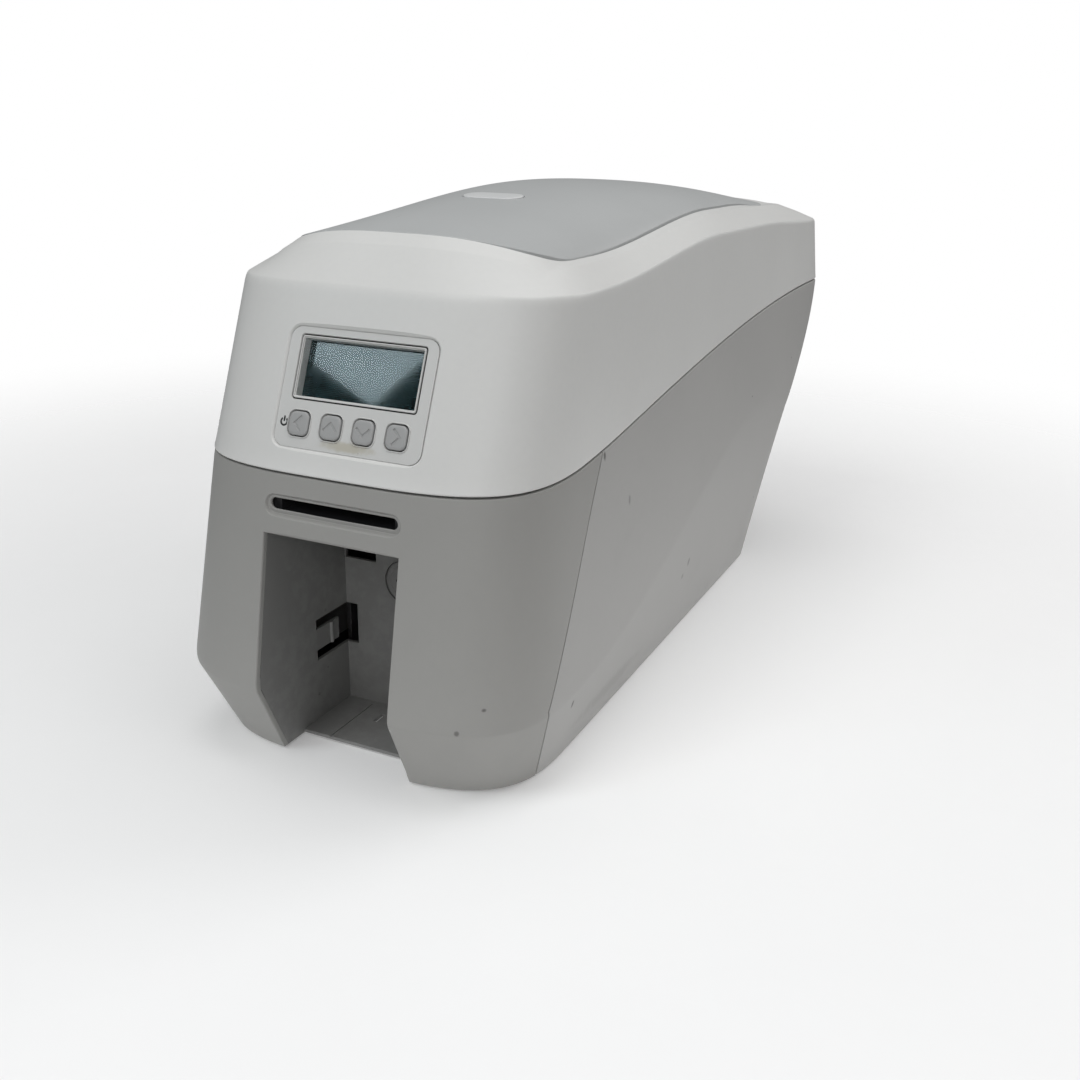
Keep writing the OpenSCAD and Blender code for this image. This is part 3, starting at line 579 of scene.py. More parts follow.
def slot_cutter():
    """The hand-feed slot with its shallow rim and softened edge."""
    half = (SLOT_W - SLOT_H) / 2
    rings = []
    for back, grow, lower in SLOT_RIM:
        rings.append([(x, face_back(x, PATH_Z + z) + back, PATH_Z + z - lower)
                      for x, z in stadium(half, SLOT_H / 2 + grow)])
    for y, grow, lower in SLOT_THROAT:
        rings.append([(x, y, PATH_Z + z - lower) for x, z in stadium(half, SLOT_H / 2 + grow)])
    return loft("slot_cutter", rings)


# Heights at which the bay's mouth follows the front, then how far behind the front and how much wider
BAY_HEIGHTS = (-4.0, 8.0, 16.0, 24.0, 32.0, 36.0, 38.0, 40.0, 44.0, 60.0, 80.0, 95.0, BAY_TOP)
BAY_EDGE = ((-6.0, 6.0), (-0.2, 0.75), (0.12, 0.28), (0.5, 0.05), (0.9, 0.0), (40.0, 0.0))


def bay_cutter():
    """The open front of the card bay, with its front edges softened."""
    rings = []
    for back, grow in BAY_EDGE:
        side = [(BAY_HALF + grow, z + (grow if z == BAY_TOP else 0.0)) for z in BAY_HEIGHTS]
        outline = side + [(-x, z) for x, z in reversed(side)]
        rings.append([(x, face_back(min(abs(x), 40.0), z) + back, z) for x, z in outline])
    return loft("bay_cutter", rings)


# Side view of the space that the front moulding takes
FRONT_ZONE = ((-10.0, -1.0), (48.0, -1.0), (38.0, CHIN_Z + 1), (98.0, 136.5), (104.0, 150.0), (-10.0, 150.0))
SEAM_ROLL = 0.55
COLUMNS_BASE = half_columns(steps(0, BAY_HALF + 4, 10) + [BAY_HALF + 4], front=30, side=72, rear=22)
COLUMNS_COVER = half_columns(steps(0, 40, 10) + [40], front=30, side=72, rear=22)


def rows(a, b, count):
    return [mix(a, b, (i + 1) / count) for i in range(count)]


def quarter(count):
    """Sines and cosines through a right angle."""
    return [(math.sin(math.pi / 2 * i / count), math.cos(math.pi / 2 * i / count)) for i in range(count + 1)]


def base_lift(s):
    return -SEAM_GAP / 2 * clamp01((s - 1.8) / 0.2)


# The joint gap at the cover's lower edge and the soft roll below its rim, which is higher towards the back
LIFT_STOPS = ((2.0, SEAM_GAP / 2), (2.25, 0.0), (3.0, 0.0), (3.35, 0.6), (3.72, 1.1), (4.0, 0.0))
REAR_STOPS = ((2.0, 0.0), (3.0, 0.0), (3.35, 1.4), (3.72, 2.2), (4.0, 0.0))


def along(stops, s):
    """Straight steps through pairs of a place and its value."""
    for a, b in zip(stops, stops[1:]):
        if s <= b[0]:
            return mix(a[1], b[1], (s - a[0]) / (b[0] - a[0]))
    return stops[-1][1]


def base_wall(name):
    """Outer skin, rolled top edge and inner skin of the base."""
    levels = [0.0] + rows(0.0, 0.95, 6) + rows(0.95, 1.05, 6) + rows(1.05, 1.97, 16)
    rings = [(s, 0.0, base_lift(s)) for s in levels]
    rings += [(2.0, SEAM_ROLL * (1 - c), -SEAM_GAP / 2 - SEAM_ROLL * (1 - s)) for s, c in quarter(4)]
    rings += [(2.0, WALL, -SEAM_GAP / 2)]
    rings += [(s, WALL, 0.0) for s in (1.8, 1.6, 1.4, 1.2, 1.05, 0.95, 0.5, 0.0)]
    return skin_wall(name, rings, COLUMNS_BASE)


def rear_cutters():
    """Socket window and louvres of the base."""
    yield prism_y("window_cutter", rounded_outline(64, 28, 2), 370, 420, (0, 54))
    for i in range(-5, 6):
        upright = [(z, x) for x, z in stadium(6.5, 1.6, 8)]
        yield prism_y("louvre_cutter", upright, 380, 430, (9 * i, 85.5))


def hinge_blocks(name, half_width, y0, y1, z0, z1):
    """A block round each hinge, between depths from the body's rear end."""
    return joined(name, [block(name, (side * HINGE_X - half_width, BODY_LEN + y0, z0),
                               (side * HINGE_X + half_width, BODY_LEN + y1, z1)) for side in (-1, 1)])


def build_base(sizes):
    obj = base_wall("base_housing")
    zone = [(y + sizes.joint_gap / MM, z) for y, z in FRONT_ZONE]
    combine(obj, prism_x("joint_cutter", zone, -ACROSS, ACROSS))
    combine(obj, joined("openings", list(rear_cutters())))
    combine(obj, block("rear_trim", (-ACROSS, BODY_LEN - 14, SEAM_REAR_Z - 2),
                       (ACROSS, BODY_LEN + 16, SEAM_REAR_Z + 8)))
    combine(obj, hinge_blocks("pockets", 14, -24, 6, 162, 192))
    return shade(obj)


def build_fascia():
    obj = base_wall("front_moulding")
    combine(obj, prism_x("zone", FRONT_ZONE, -ACROSS, ACROSS), how="INTERSECT")
    combine(obj, bay_cutter())
    combine(obj, slot_cutter())
    return shade(obj)


# The cover's skin from its rim into the top panel's seat, then down the inside, as rings of skin_wall
COVER_SEAT = ((4.0, 0.02, -0.02), (4.0, 0.12, -0.12), (4.0, 0.3, -0.4), (4.0, 0.42, -1.0),
              (4.0, 0.6, -4.0), (4.0, 9.0, -4.0), (4.0, 9.0, -4.0 - WALL))
COVER_INSIDE = ((3.6, WALL + 1, -WALL), (3.3, WALL + 0.4, -WALL * 0.7), (3.0, WALL, -1.0), (2.75, WALL, -0.4),
                (2.5, WALL, 0.0), (2.25, WALL, 0.0), (2.0, WALL, SEAM_GAP / 2))
COVER_ROLL = 0.8


def build_cover():
    rings = [(2.0, COVER_ROLL * (1 - s), SEAM_GAP / 2 + COVER_ROLL * (1 - c)) for s, c in quarter(5)]
    levels = (rows(2.0, 2.1, 2) + rows(2.1, 2.95, 14) + rows(2.95, 3.05, 6) + rows(3.05, 3.35, 4)
              + rows(3.35, 3.69, 4) + rows(3.69, 3.75, 4) + rows(3.75, 3.97, 4))
    rings += [(s, 0.0, along(LIFT_STOPS, s), along(REAR_STOPS, s)) for s in levels]
    obj = skin_wall("cover_shell", rings + list(COVER_SEAT) + list(COVER_INSIDE), COLUMNS_COVER)
    combine(obj, flared_front("display_cutter", PANEL_X, PANEL_MID, PANEL_W + 0.6, PANEL_H + 0.6,
                              PANEL_RADIUS + 0.1, 0.75, 8.0))
    combine(obj, hinge_blocks("notches", 4, -20, 10, 170, 188.5))
    combine(obj, joined("knuckles", [turned("knuckle", HINGE_AT, [(side * 49.5, 6.0), (side * 76.5, 6.0)])
                                     for side in (-1, 1)]))
    shade(obj)
    posts = []
    for side in (-1, 1):
        for y in POST_ROW:
            posts.append(pillar("post", ((side * 61, y, 181, 2.6), (side * 61, y, 181.4, 3),
                                         (side * 63, y, rim_edge_z(y) - 5.0, 2.5)), 20))
    return joined("cover_shell", [obj] + posts)


def dome_ring(r, inset, lift, columns):
    """A ring of the top panel, at the share r of the way from its edge to its middle."""
    half = []
    for c in columns:
        x, y = level_point(inset_level(LEVELS[RIM], inset), c)
        x, y = x * (1 - r), mix(y, 250, r)
        half.append(Vector((x, y, dome_z(x, y) + lift)))
    return half + [Vector((-p.x, p.y, p.z)) for p in reversed(half[1:-1])]


def build_top_panel():
    columns = half_columns(steps(0, 30, 8) + [30], front=26, side=56, rear=26)
    rings = [dome_ring(r, PANEL_INSET, -WALL, columns) for r in (0.985, 0.8, 0.6, 0.4, 0.2, 0.08)]
    seat = ((RIM, 7, -3.9), (RIM, PANEL_INSET, -3.9), (RIM, PANEL_INSET, -0.5))
    rings += [ring_points(ring, columns) for ring in seat]
    rings.append(dome_ring(0.0, PANEL_INSET + 0.05, -0.25, columns))
    shares = [0.002, 0.005, 0.01, 0.016, 0.024, 0.034] + rows(0.04, 0.985, 40)
    rings += [dome_ring(r, PANEL_INSET, 0.0, columns) for r in shares]
    obj = loft("cover_panel", rings)
    sections = []
    for grow, up in ((4.0, 4.0), (0.55, 0.12), (0.12, -0.2), (0.0, -0.7), (0.0, -12.0)):
        outline = stadium(BUTTON_HALF, BUTTON_R + BUTTON_GAP + grow, 24)
        sections.append([on_button(x, y, up) for x, y in outline])
    shade(combine(obj, loft("button_cutter", sections)))
    clips = []
    for x in (-CLIP_X, CLIP_X):
        for y in CLIP_ROW:
            stations = ((x, y, rim_edge_z(y) - 9, 2.0), (x, y, dome_z(CLIP_X, y) - 1.8, 2.6))
            clips.append(pillar("clip", stations, 16))
    return joined("cover_panel", [obj] + clips)


BUTTON_TILT = math.atan((crest_z(BUTTON_Y + 4) - crest_z(BUTTON_Y - 4)) / 8)
BUTTON_PLACE = Matrix.Translation((0, BUTTON_Y, dome_z(0, BUTTON_Y))) @ Matrix.Rotation(BUTTON_TILT, 4, "X")
# Height on the button and how far its outline stands beyond the face there
BUTTON_SIDE = ((-5.8, 1.8), (-4.0, 1.8), (-4.0, 0.0), (-0.5, 0.0), (-0.1, -0.08), (0.18, -0.35), (0.3, -0.9),
               (0.36, -3.0), (0.38, -6.5))
STEM_SIDE = ((-26, 2.4), (-25.5, 3.0), (-5.0, 3.0))


def on_button(x, y, up):
    return BUTTON_PLACE @ Vector((x, y, up))


def build_button():
    rings = [[on_button(x, y, up) for x, y in stadium(BUTTON_HALF, BUTTON_R + grow, 24)]
             for up, grow in BUTTON_SIDE]
    stem = [[on_button(r * x, r * y, up) for x, y in circle(24)] for up, r in STEM_SIDE]
    return joined("release_button_cap", [shade(loft("release_button_cap", rings)), shade(loft("stem", stem))])


# Card bay

def build_bay():
    """The liner with its tongue, and lips behind the front moulding."""
    liner = refined("hopper_bay", 0.35, 2, "bay_liner")
    heights = (FOOT_Z, 16.0, 30.0, CHIN_Z, 60.0, 85.0, BAY_TOP + 0.5)
    near = [(face_back(LIP_X, z) + WALL + 0.12, z) for z in heights]
    far = [(face_back(LIP_X, z) + WALL + 1.6, z) for z in reversed(heights)]
    lips = []
    for side in (-1, 1):
        x0, x1 = sorted((side * (BAY_HALF + 0.02), side * (BAY_HALF + 0.9)))
        lips.append(prism_x("lip", near + far, x0, x1))
    lips.append(block("roof_lip",
                      (-BAY_HALF - 0.9, face_back(0, BAY_TOP + 1.6) + WALL + 0.75, BAY_TOP + 0.05),
                      (BAY_HALF + 0.9, face_back(0, BAY_TOP) + WALL + 3.0, BAY_TOP + 1.5)))
    return joined("bay_liner", [liner] + [shade(lip) for lip in lips])


# The plug from its rim to the bottom of its dish: how far behind the bay's back wall, and radius
PLUG_SIDE = ((3.2, 12.3), (1.9, 12.6), (1.9, 10.6), (0.75, 10.6), (0.35, 10.2), (0.3, 8.6), (0.75, 8.0),
             (0.8, 1.0))


def build_plug():
    """Round plug in the back wall of the bay, with a shallow dish and a coin slot."""
    rings = [[(r * x, PLUG_Y + back, PLUG_Z + r * z) for x, z in circle(72)] for back, r in PLUG_SIDE]
    slot = prism_y("coin_slot", rounded_outline(11, 1.6, 0.7), PLUG_Y - 1, PLUG_Y + 1.6, (0, PLUG_Z))
    return shade(combine(loft("bay_plug_cap", rings), slot))


# Display and keys

PANEL_FACE = -PANEL_SINK


def key_slab(name, index, sections):
    """A slab round a key's hole; each section is (out, how far it stands beyond the hole)."""
    w, h = KEY_W + 2 * KEY_GAP, KEY_H + 2 * KEY_GAP
    return front_slab(name, key_x(index), KEYS_MID,
                      [(out, w + 2 * g, h + 2 * g, KEY_RADIUS + g) for out, g in sections])


# Panel from its back to its front edge: out of the cover's front, and how far beyond the panel's outline
BEZEL_SIDE = ((-5.2, 2.1), (-4.9, 2.4), (-3.95, 2.4), (-3.95, 0.25), (PANEL_FACE - 0.1, 0.25),
              (PANEL_FACE, 0.15))
# Window hole from the front: out of the cover's front, how much larger than the hole, and corner radius
WINDOW_HOLE = ((3, 8, 5.5), (PANEL_FACE + 0.1, 0.9, 1.9), (PANEL_FACE - 0.25, 0.2, 1.6),
               (PANEL_FACE - 0.6, 0, 1.5), (-12, 0, 1.5))
COLLAR = ((PANEL_FACE - 1.5, 0.62), (PANEL_FACE + 0.1, 0.6), (PANEL_FACE + 0.4, 0.52),
          (PANEL_FACE + 0.48, 0.38))
KEY_HOLE = ((3, 2.9), (PANEL_FACE + 0.5, 0.27), (PANEL_FACE + 0.15, 0.06), (PANEL_FACE - 0.3, 0.0),
            (-12, 0.0))


def build_bezel():
    """Recessed panel with its rolled edge, the window hole and raised collars round the keys."""
    obj = front_slab("display_panel", PANEL_X, PANEL_MID,
                     [(out, PANEL_W + 2 * grow, PANEL_H + 2 * grow, PANEL_RADIUS + grow)
                      for out, grow in BEZEL_SIDE])
    combine(obj, joined("collars", [key_slab("collar", i, COLLAR) for i in range(4)]), how="UNION")
    holes = [front_slab("window_hole", PANEL_X, WINDOW_MID,
                        [(out, WINDOW_W + more, WINDOW_H + more, radius)
                         for out, more, radius in WINDOW_HOLE])]
    holes += [key_slab("key_hole", i, KEY_HOLE) for i in range(4)]
    return shade(combine(obj, joined("panel_holes", holes)))


def frame_ring(name, x, up, width, height, sections):
    """A rounded frame on the leaning front, out and back in; a section is (out, how much smaller, radius)."""
    rings = []
    for out, less, radius in sections:
        outline = rounded_outline(width - less, height - less, radius, 8)
        rings.append([on_front(x + px, up + py, out) for px, py in outline])
    return shade(closed_skin(name, rings, 0.002))


def build_window_frame():
    """Light frame that holds the clear window, with a rolled front edge."""
    return frame_ring("window_frame", PANEL_X, WINDOW_MID, WINDOW_W - 1.0, WINDOW_H - 1.0,
                      ((-7.6, 0, 1.2), (-1.7, 0, 1.2), (-1.35, 0.15, 1.15), (-1.2, 0.5, 1.0),
                       (-1.25, 1.1, 0.8), (-1.6, 1.5, 0.6), (-1.9, 1.6, 0.6), (-1.9, 2.2, 0.5),
                       (-7.6, 2.2, 0.5)))


def build_gap_shade_ring():
    """Black ring between the panel and the window's frame: painted shade that darkens the gap round the
    window.
    """
    return frame_ring("window_seal", PANEL_X, WINDOW_MID, WINDOW_W - 0.06, WINDOW_H - 0.06,
                      ((-5.0, 0, 1.5), (-1.95, 0, 1.5), (-1.8, 0.3, 1.4), (-1.9, 1.2, 1.0), (-5.0, 1.2, 1.0)))


def build_window():
    w, h = WINDOW_W - 2.7, WINDOW_H - 2.7
    return shade(front_slab("screen_window", PANEL_X, WINDOW_MID,
                            [(-2.9, w, h, 0.6), (-2.1, w, h, 0.6), (-1.9, w - 0.4, h - 0.4, 0.5)]))


def build_screen():
    """Glass face of the screen module, and its board."""
    w, h = WINDOW_W - 3.2, WINDOW_H - 3.4
    glass = shade(front_slab("screen_glass", PANEL_X, WINDOW_MID, [(-7.0, w, h, 0.5), (-6.2, w, h, 0.5)]))
    board = shade(front_slab("screen_board", PANEL_X, WINDOW_MID, [(-8.0, 63, 30, 1), (-7.7, 63, 30, 1)]))
    return glass, board


KEY_NODES = ("key_left", "key_up", "key_down", "key_right")
# Direction in which each arrow points, in quarter turns from the left
ARROW_TURNS = (0, 3, 1, 2)
ARROW_TIP = Vector((-1.75, 0.0))
ARROW_END = Vector((1.35, 3.1))
# Groove of an arrow from its open side down: height on the key and half width
ARROW_GROOVE = ((0.4, 1.05), (-0.42, 0.62), (-0.85, 0.3))


def arrow_cutter(index):
    """An arrow head drawn as a shallow groove with sloping sides."""
    turn = math.pi / 2 * ARROW_TURNS[index]
    onward = (ARROW_END - ARROW_TIP).normalized()
    across = Vector((-onward.y, onward.x))
    rings = []
    for out, half in ARROW_GROOVE:
        far = ARROW_END + onward * 0.4 * half
        mitre = half / abs(across.x)
        upper = [Vector((ARROW_TIP.x + mitre, 0.0)), far - across * half, far + across * half,
                 Vector((ARROW_TIP.x - mitre, 0.0))]
        outline = upper + [Vector((p.x, -p.y)) for p in reversed(upper[1:3])]
        ring = []
        for p in outline:
            x = p.x * math.cos(turn) - p.y * math.sin(turn)
            y = p.x * math.sin(turn) + p.y * math.cos(turn)
            ring.append(on_front(key_x(index) + x, KEYS_MID + y, out))
        rings.append(ring)
    return loft("arrow", rings)


KEY_FACE = -0.4
# Key from its foot to its face: out of the cover's front, how much smaller than the key, and corner radius
KEY_SIDE = ((-6.3, -1.8, 2.0), (-5.5, -1.8, 2.0), (-5.5, 0, 3.0), (KEY_FACE - 0.75, 0.05, 3.0),
            (KEY_FACE - 0.4, 0.25, 2.9), (KEY_FACE - 0.16, 0.75, 2.7), (KEY_FACE - 0.04, 1.6, 2.4),
            (KEY_FACE, 3.0, 2.0))


def build_key(index, node):
    sections = [(out, KEY_W - less, KEY_H - less, radius) for out, less, radius in KEY_SIDE]
    obj = front_slab(node + "_cap", key_x(index), KEYS_MID, sections)
    return shade(combine(obj, arrow_cutter(index)), 28)


# Power sign: distance from the first key, radius of its ring, half width of its line and its open angle
POWER_LEFT = 7.7
POWER_RADIUS = 1.55
POWER_LINE = 0.4
POWER_OPEN = 72
POWER_STEPS = 28
POWER_LEVELS = (PANEL_FACE - 0.05, PANEL_FACE + 0.03)


def build_power_mark():
    """Printed power sign beside the first key, a ring with a gap and a bar."""
    mid = key_x(0) - POWER_LEFT
    first = math.pi / 2 + math.radians(POWER_OPEN / 2)
    arcs = []
    for radius in (POWER_RADIUS + POWER_LINE, POWER_RADIUS - POWER_LINE):
        for i in range(POWER_STEPS + 1):
            angle = first + math.radians(360 - POWER_OPEN) * i / POWER_STEPS
            arcs.append((mid + radius * math.cos(angle), KEYS_MID + radius * math.sin(angle)))
    points = [on_front(x, up, out) for out in POWER_LEVELS for x, up in arcs]
    n = POWER_STEPS + 1
    faces = []
    for i in range(POWER_STEPS):
        faces.append((2 * n + i, 2 * n + i + 1, 3 * n + i + 1, 3 * n + i))
        faces.append((i, n + i, n + i + 1, i + 1))
        faces.append((i, i + 1, 2 * n + i + 1, 2 * n + i))
        faces.append((n + i, 3 * n + i, 3 * n + i + 1, n + i + 1))
    faces += [(i, 2 * n + i, 3 * n + i, n + i) for i in (0, POWER_STEPS)]
    ring = edit(new_piece("power_mark", points, faces), face_outwards)
    bar = front_slab("bar", mid, KEYS_MID + 1.25, [(out, 2 * POWER_LINE, 2.4, 0.2) for out in POWER_LEVELS])
    return joined("power_mark", [ring, bar])


# Repeated parts made by node trees

def new_tree(name, inputs):
    """A geometry tree with a mesh input and named size inputs."""
    tree = bpy.data.node_groups.new(name, "GeometryNodeTree")
    tree.interface.new_socket("Geometry", in_out="INPUT", socket_type="NodeSocketGeometry")
    for label, value in inputs.items():
        kind = "NodeSocketInt" if isinstance(value, int) else "NodeSocketFloat"
        socket = tree.interface.new_socket(label, in_out="INPUT", socket_type=kind)
        socket.default_value = value
    tree.interface.new_socket("Material", in_out="INPUT", socket_type="NodeSocketMaterial")
    tree.interface.new_socket("Geometry", in_out="OUTPUT", socket_type="NodeSocketGeometry")
    return tree


def add(tree, kind, inputs=None, **settings):
    """A node with its settings and inputs; an input may be a value or another node's output."""
    node = tree.nodes.new(kind)
    for name, value in settings.items():
        setattr(node, name, value)
    for name, value in (inputs or {}).items():
        socket = node.inputs[name]
        if isinstance(value, bpy.types.NodeSocket):
            tree.links.new(value, socket)
        else:
            socket.default_value = value
    return node


def link_all(tree, outputs, socket):
    """Links several outputs, in their order, to one socket that takes many."""
    for output in outputs:
        tree.links.new(output, socket)


def math_node(tree, operation, a, b=0.0, clamp=False):
    return add(tree, "ShaderNodeMath", {0: a, 1: b}, operation=operation, use_clamp=clamp).outputs[0]


def times(tree, a, b, clamp=False):
    return math_node(tree, "MULTIPLY", a, b, clamp)


def plus(tree, a, b):
    return math_node(tree, "ADD", a, b)


def minus(tree, a, b):
    return math_node(tree, "SUBTRACT", a, b)


def vector(tree, **parts):
    return add(tree, "ShaderNodeCombineXYZ", parts).outputs[0]


def box_mesh(tree, **size):
    return add(tree, "GeometryNodeMeshCube", {"Size": vector(tree, **size)}).outputs["Mesh"]


def cylinder_mesh(tree, sides, radius, depth):
    values = {"Vertices": sides, "Radius": radius, "Depth": depth}
    return add(tree, "GeometryNodeMeshCylinder", values).outputs["Mesh"]


def moved(tree, geometry, **way):
    values = {"Geometry": geometry, "Translation": vector(tree, **way)}
    return add(tree, "GeometryNodeTransform", values).outputs[0]


def join(tree, *geometries):
    both = add(tree, "GeometryNodeJoinGeometry")
    link_all(tree, geometries, both.inputs[0])
    return both.outputs[0]


def at_points(tree, points, piece):
    return add(tree, "GeometryNodeInstanceOnPoints", {"Points": points, "Instance": piece}).outputs[0]


def finish_tree(tree, piece, out):
    """Sets the piece at every point that comes in, as a plain mesh with the tree's material."""
    real = add(tree, "GeometryNodeRealizeInstances", {"Geometry": at_points(tree, out["Geometry"], piece)})
    coat = add(tree, "GeometryNodeSetMaterial", {"Geometry": real.outputs[0], "Material": out["Material"]})
    add(tree, "NodeGroupOutput", {"Geometry": coat.outputs[0]})
    return tree


def run_tree(name, points, tree, coat, values):
    """Runs a geometry tree on points and returns its result as a plain mesh."""
    obj = new_piece(name, points, [])
    mod = obj.modifiers.new("Repeat", "NODES")
    mod.node_group = tree
    values = dict(values, Material=coat)
    for item in tree.interface.items_tree:
        if item.in_out == "INPUT" and item.name in values:
            mod[item.identifier] = values[item.name]
    return settle(obj)


def screw_tree():
    """A pan-head screw with a cross recess at every point."""
    tree = new_tree("Pan Head Screws", {"Head Radius": 0.003, "Head Height": 0.0016, "Shank Radius": 0.0015,
                                        "Shank Length": 0.0042, "Recess Width": 0.0008})
    out = add(tree, "NodeGroupInput").outputs
    head = moved(tree, cylinder_mesh(tree, 32, out["Head Radius"], out["Head Height"]),
                 Z=times(tree, out["Head Height"], 0.5))
    depth = times(tree, out["Head Height"], 1.1)
    length = times(tree, out["Head Radius"], 1.25)
    width = out["Recess Width"]
    cutters = [moved(tree, box_mesh(tree, X=x, Y=y, Z=depth), Z=depth)
               for x, y in ((width, length), (length, width))]
    cut = add(tree, "GeometryNodeMeshBoolean", {"Mesh 1": head}, operation="DIFFERENCE", solver="EXACT")
    link_all(tree, cutters, cut.inputs["Mesh 2"])
    shank = moved(tree, cylinder_mesh(tree, 20, out["Shank Radius"], out["Shank Length"]),
                  Z=times(tree, out["Shank Length"], -0.5))
    return finish_tree(tree, join(tree, cut.outputs[0], shank), out)


def fin_tree():
    """A base plate with upright fins beside each other along the depth, at every point."""
    tree = new_tree("Heat Sink Fins", {"Length": 0.0594, "Base Depth": 0.02, "Base Height": 0.0086, "Fins": 5,
                                       "Fin Pitch": 0.0046, "Fin Height": 0.018, "Fin Thickness": 0.0015})
    out = add(tree, "NodeGroupInput").outputs
    base = box_mesh(tree, X=out["Length"], Y=out["Base Depth"], Z=out["Base Height"])
    fin = box_mesh(tree, X=out["Length"], Y=out["Fin Thickness"], Z=out["Fin Height"])
    pitch = vector(tree, Y=out["Fin Pitch"])
    line = add(tree, "GeometryNodeMeshLine", {"Count": out["Fins"], "Offset": pitch}, mode="OFFSET")
    row_length = times(tree, minus(tree, out["Fins"], 1.0), out["Fin Pitch"])
    row = moved(tree, at_points(tree, line.outputs[0], fin), Y=times(tree, row_length, -0.5),
                Z=times(tree, plus(tree, out["Base Height"], out["Fin Height"]), 0.5))
    return finish_tree(tree, join(tree, base, row), out)


# Shared shader node groups

def new_group(name, inputs, outputs):
    """An empty shader group; inputs and outputs map a socket name to its kind and default."""
    tree = bpy.data.node_groups.new(name, "ShaderNodeTree")
    for label, (kind, value) in inputs.items():
        socket = tree.interface.new_socket(label, in_out="INPUT", socket_type="NodeSocket" + kind)
        if value is not None:
            socket.default_value = value
    for label in outputs:
        tree.interface.new_socket(label, in_out="OUTPUT", socket_type="NodeSocketFloat")
    return tree, add(tree, "NodeGroupInput").outputs


def ramp(tree, value, low, high):
    """0 below low and 1 above high, smooth between them."""
    node = add(tree, "ShaderNodeMapRange", {"Value": value, "From Min": low, "From Max": high},
               interpolation_type="SMOOTHSTEP")
    return node.outputs["Result"]


def noise(tree, where, scale, detail=2.0, rough=0.5):
    node = add(tree, "ShaderNodeTexNoise", {"Vector": where, "Scale": scale, "Detail": detail,
                                            "Roughness": rough})
    return node.outputs["Fac"]


def grain_group():
    """Spark-eroded skin of a moulding: fine height and a slow change of tone."""
    tree, inp = new_group("Moulded Grain", {"Vector": ("Vector", None), "Scale": ("Float", 1500.0)},
                          ("Height", "Tone"))
    fine = noise(tree, inp["Vector"], inp["Scale"], 3.0, 0.6)
    coarse = noise(tree, inp["Vector"], times(tree, inp["Scale"], 0.28), 2.0)
    slow = noise(tree, inp["Vector"], 9.0, 3.0, 0.55)
    add(tree, "NodeGroupOutput", {"Height": plus(tree, times(tree, fine, 0.7), times(tree, coarse, 0.3)),
                                  "Tone": plus(tree, times(tree, slow, 0.75), times(tree, coarse, 0.25))})
    return tree


def speck_group():
    """Scattered dark specks of dirt; Share is how much of the surface may hold one."""
    tree, inp = new_group("Dirt Specks", {"Vector": ("Vector", None), "Scale": ("Float", 130.0),
                                          "Share": ("Float", 0.1)}, ("Mask",))
    cell = add(tree, "ShaderNodeTexVoronoi", {"Vector": inp["Vector"], "Scale": inp["Scale"],
                                              "Randomness": 1.0})
    draws = add(tree, "ShaderNodeSeparateColor", {"Color": cell.outputs["Color"]}).outputs
    spot = math_node(tree, "LESS_THAN", cell.outputs["Distance"], times(tree, draws[0], 0.16))
    chosen = math_node(tree, "LESS_THAN", draws[1], inp["Share"])
    add(tree, "NodeGroupOutput", {"Mask": times(tree, spot, chosen)})
    return tree


def wear_group():
    """Rubbed edges, from how sharply the surface bends, broken up by noise."""
    tree, inp = new_group("Edge Wear", {"Vector": ("Vector", None), "Amount": ("Float", 0.5)}, ("Mask",))
    bend = add(tree, "ShaderNodeNewGeometry").outputs["Pointiness"]
    edge = ramp(tree, bend, 0.53, 0.60)
    broken = ramp(tree, noise(tree, inp["Vector"], 160.0, 4.0, 0.6), 0.38, 0.66)
    add(tree, "NodeGroupOutput", {"Mask": times(tree, times(tree, edge, broken), inp["Amount"], clamp=True)})
    return tree


def smudge_group():
    """Faint handling marks: soft patches, and thin slanting streaks that cross them."""
    tree, inp = new_group("Handling Marks", {"Vector": ("Vector", None), "Scale": ("Float", 26.0)},
                          ("Patch", "Streak"))
    patch = ramp(tree, noise(tree, inp["Vector"], inp["Scale"], 4.0, 0.62), 0.52, 0.78)
    slanted = add(tree, "ShaderNodeMapping", {"Vector": inp["Vector"], "Rotation": (0.5, 0.35, 0.9),
                                              "Scale": (1.0, 0.05, 1.0)})
    lines = ramp(tree, noise(tree, slanted.outputs[0], 420.0, 2.0, 0.5), 0.72, 0.78)
    gate = ramp(tree, noise(tree, inp["Vector"], 18.0, 2.0), 0.56, 0.66)
    add(tree, "NodeGroupOutput", {"Patch": patch, "Streak": times(tree, lines, gate)})
    return tree


def spot_group():
    """Soft round spot about a place, for a stain or a scuff; its edge is broken up by noise."""
    tree, inp = new_group("Local Spot", {"Vector": ("Vector", None), "Centre": ("Vector", (0.0, 0.0, 0.0)),
                                         "Size": ("Vector", (0.01, 0.01, 0.01))}, ("Mask",))
    offset = add(tree, "ShaderNodeVectorMath", {0: inp["Vector"], 1: inp["Centre"]}, operation="SUBTRACT")
    scaled = add(tree, "ShaderNodeVectorMath", {0: offset.outputs[0], 1: inp["Size"]}, operation="DIVIDE")
    distance = add(tree, "ShaderNodeVectorMath", {0: scaled.outputs[0]}, operation="LENGTH").outputs["Value"]
    rough = noise(tree, inp["Vector"], 260.0, 4.0, 0.6)
    ragged = plus(tree, distance, times(tree, minus(tree, rough, 0.5), 0.9))
    add(tree, "NodeGroupOutput", {"Mask": minus(tree, 1.0, ramp(tree, ragged, 0.35, 1.0))})
    return tree


GROUPS = {}
GROUP_MAKERS = {"grain": grain_group, "specks": speck_group, "wear": wear_group, "smudge": smudge_group,
                "spot": spot_group}


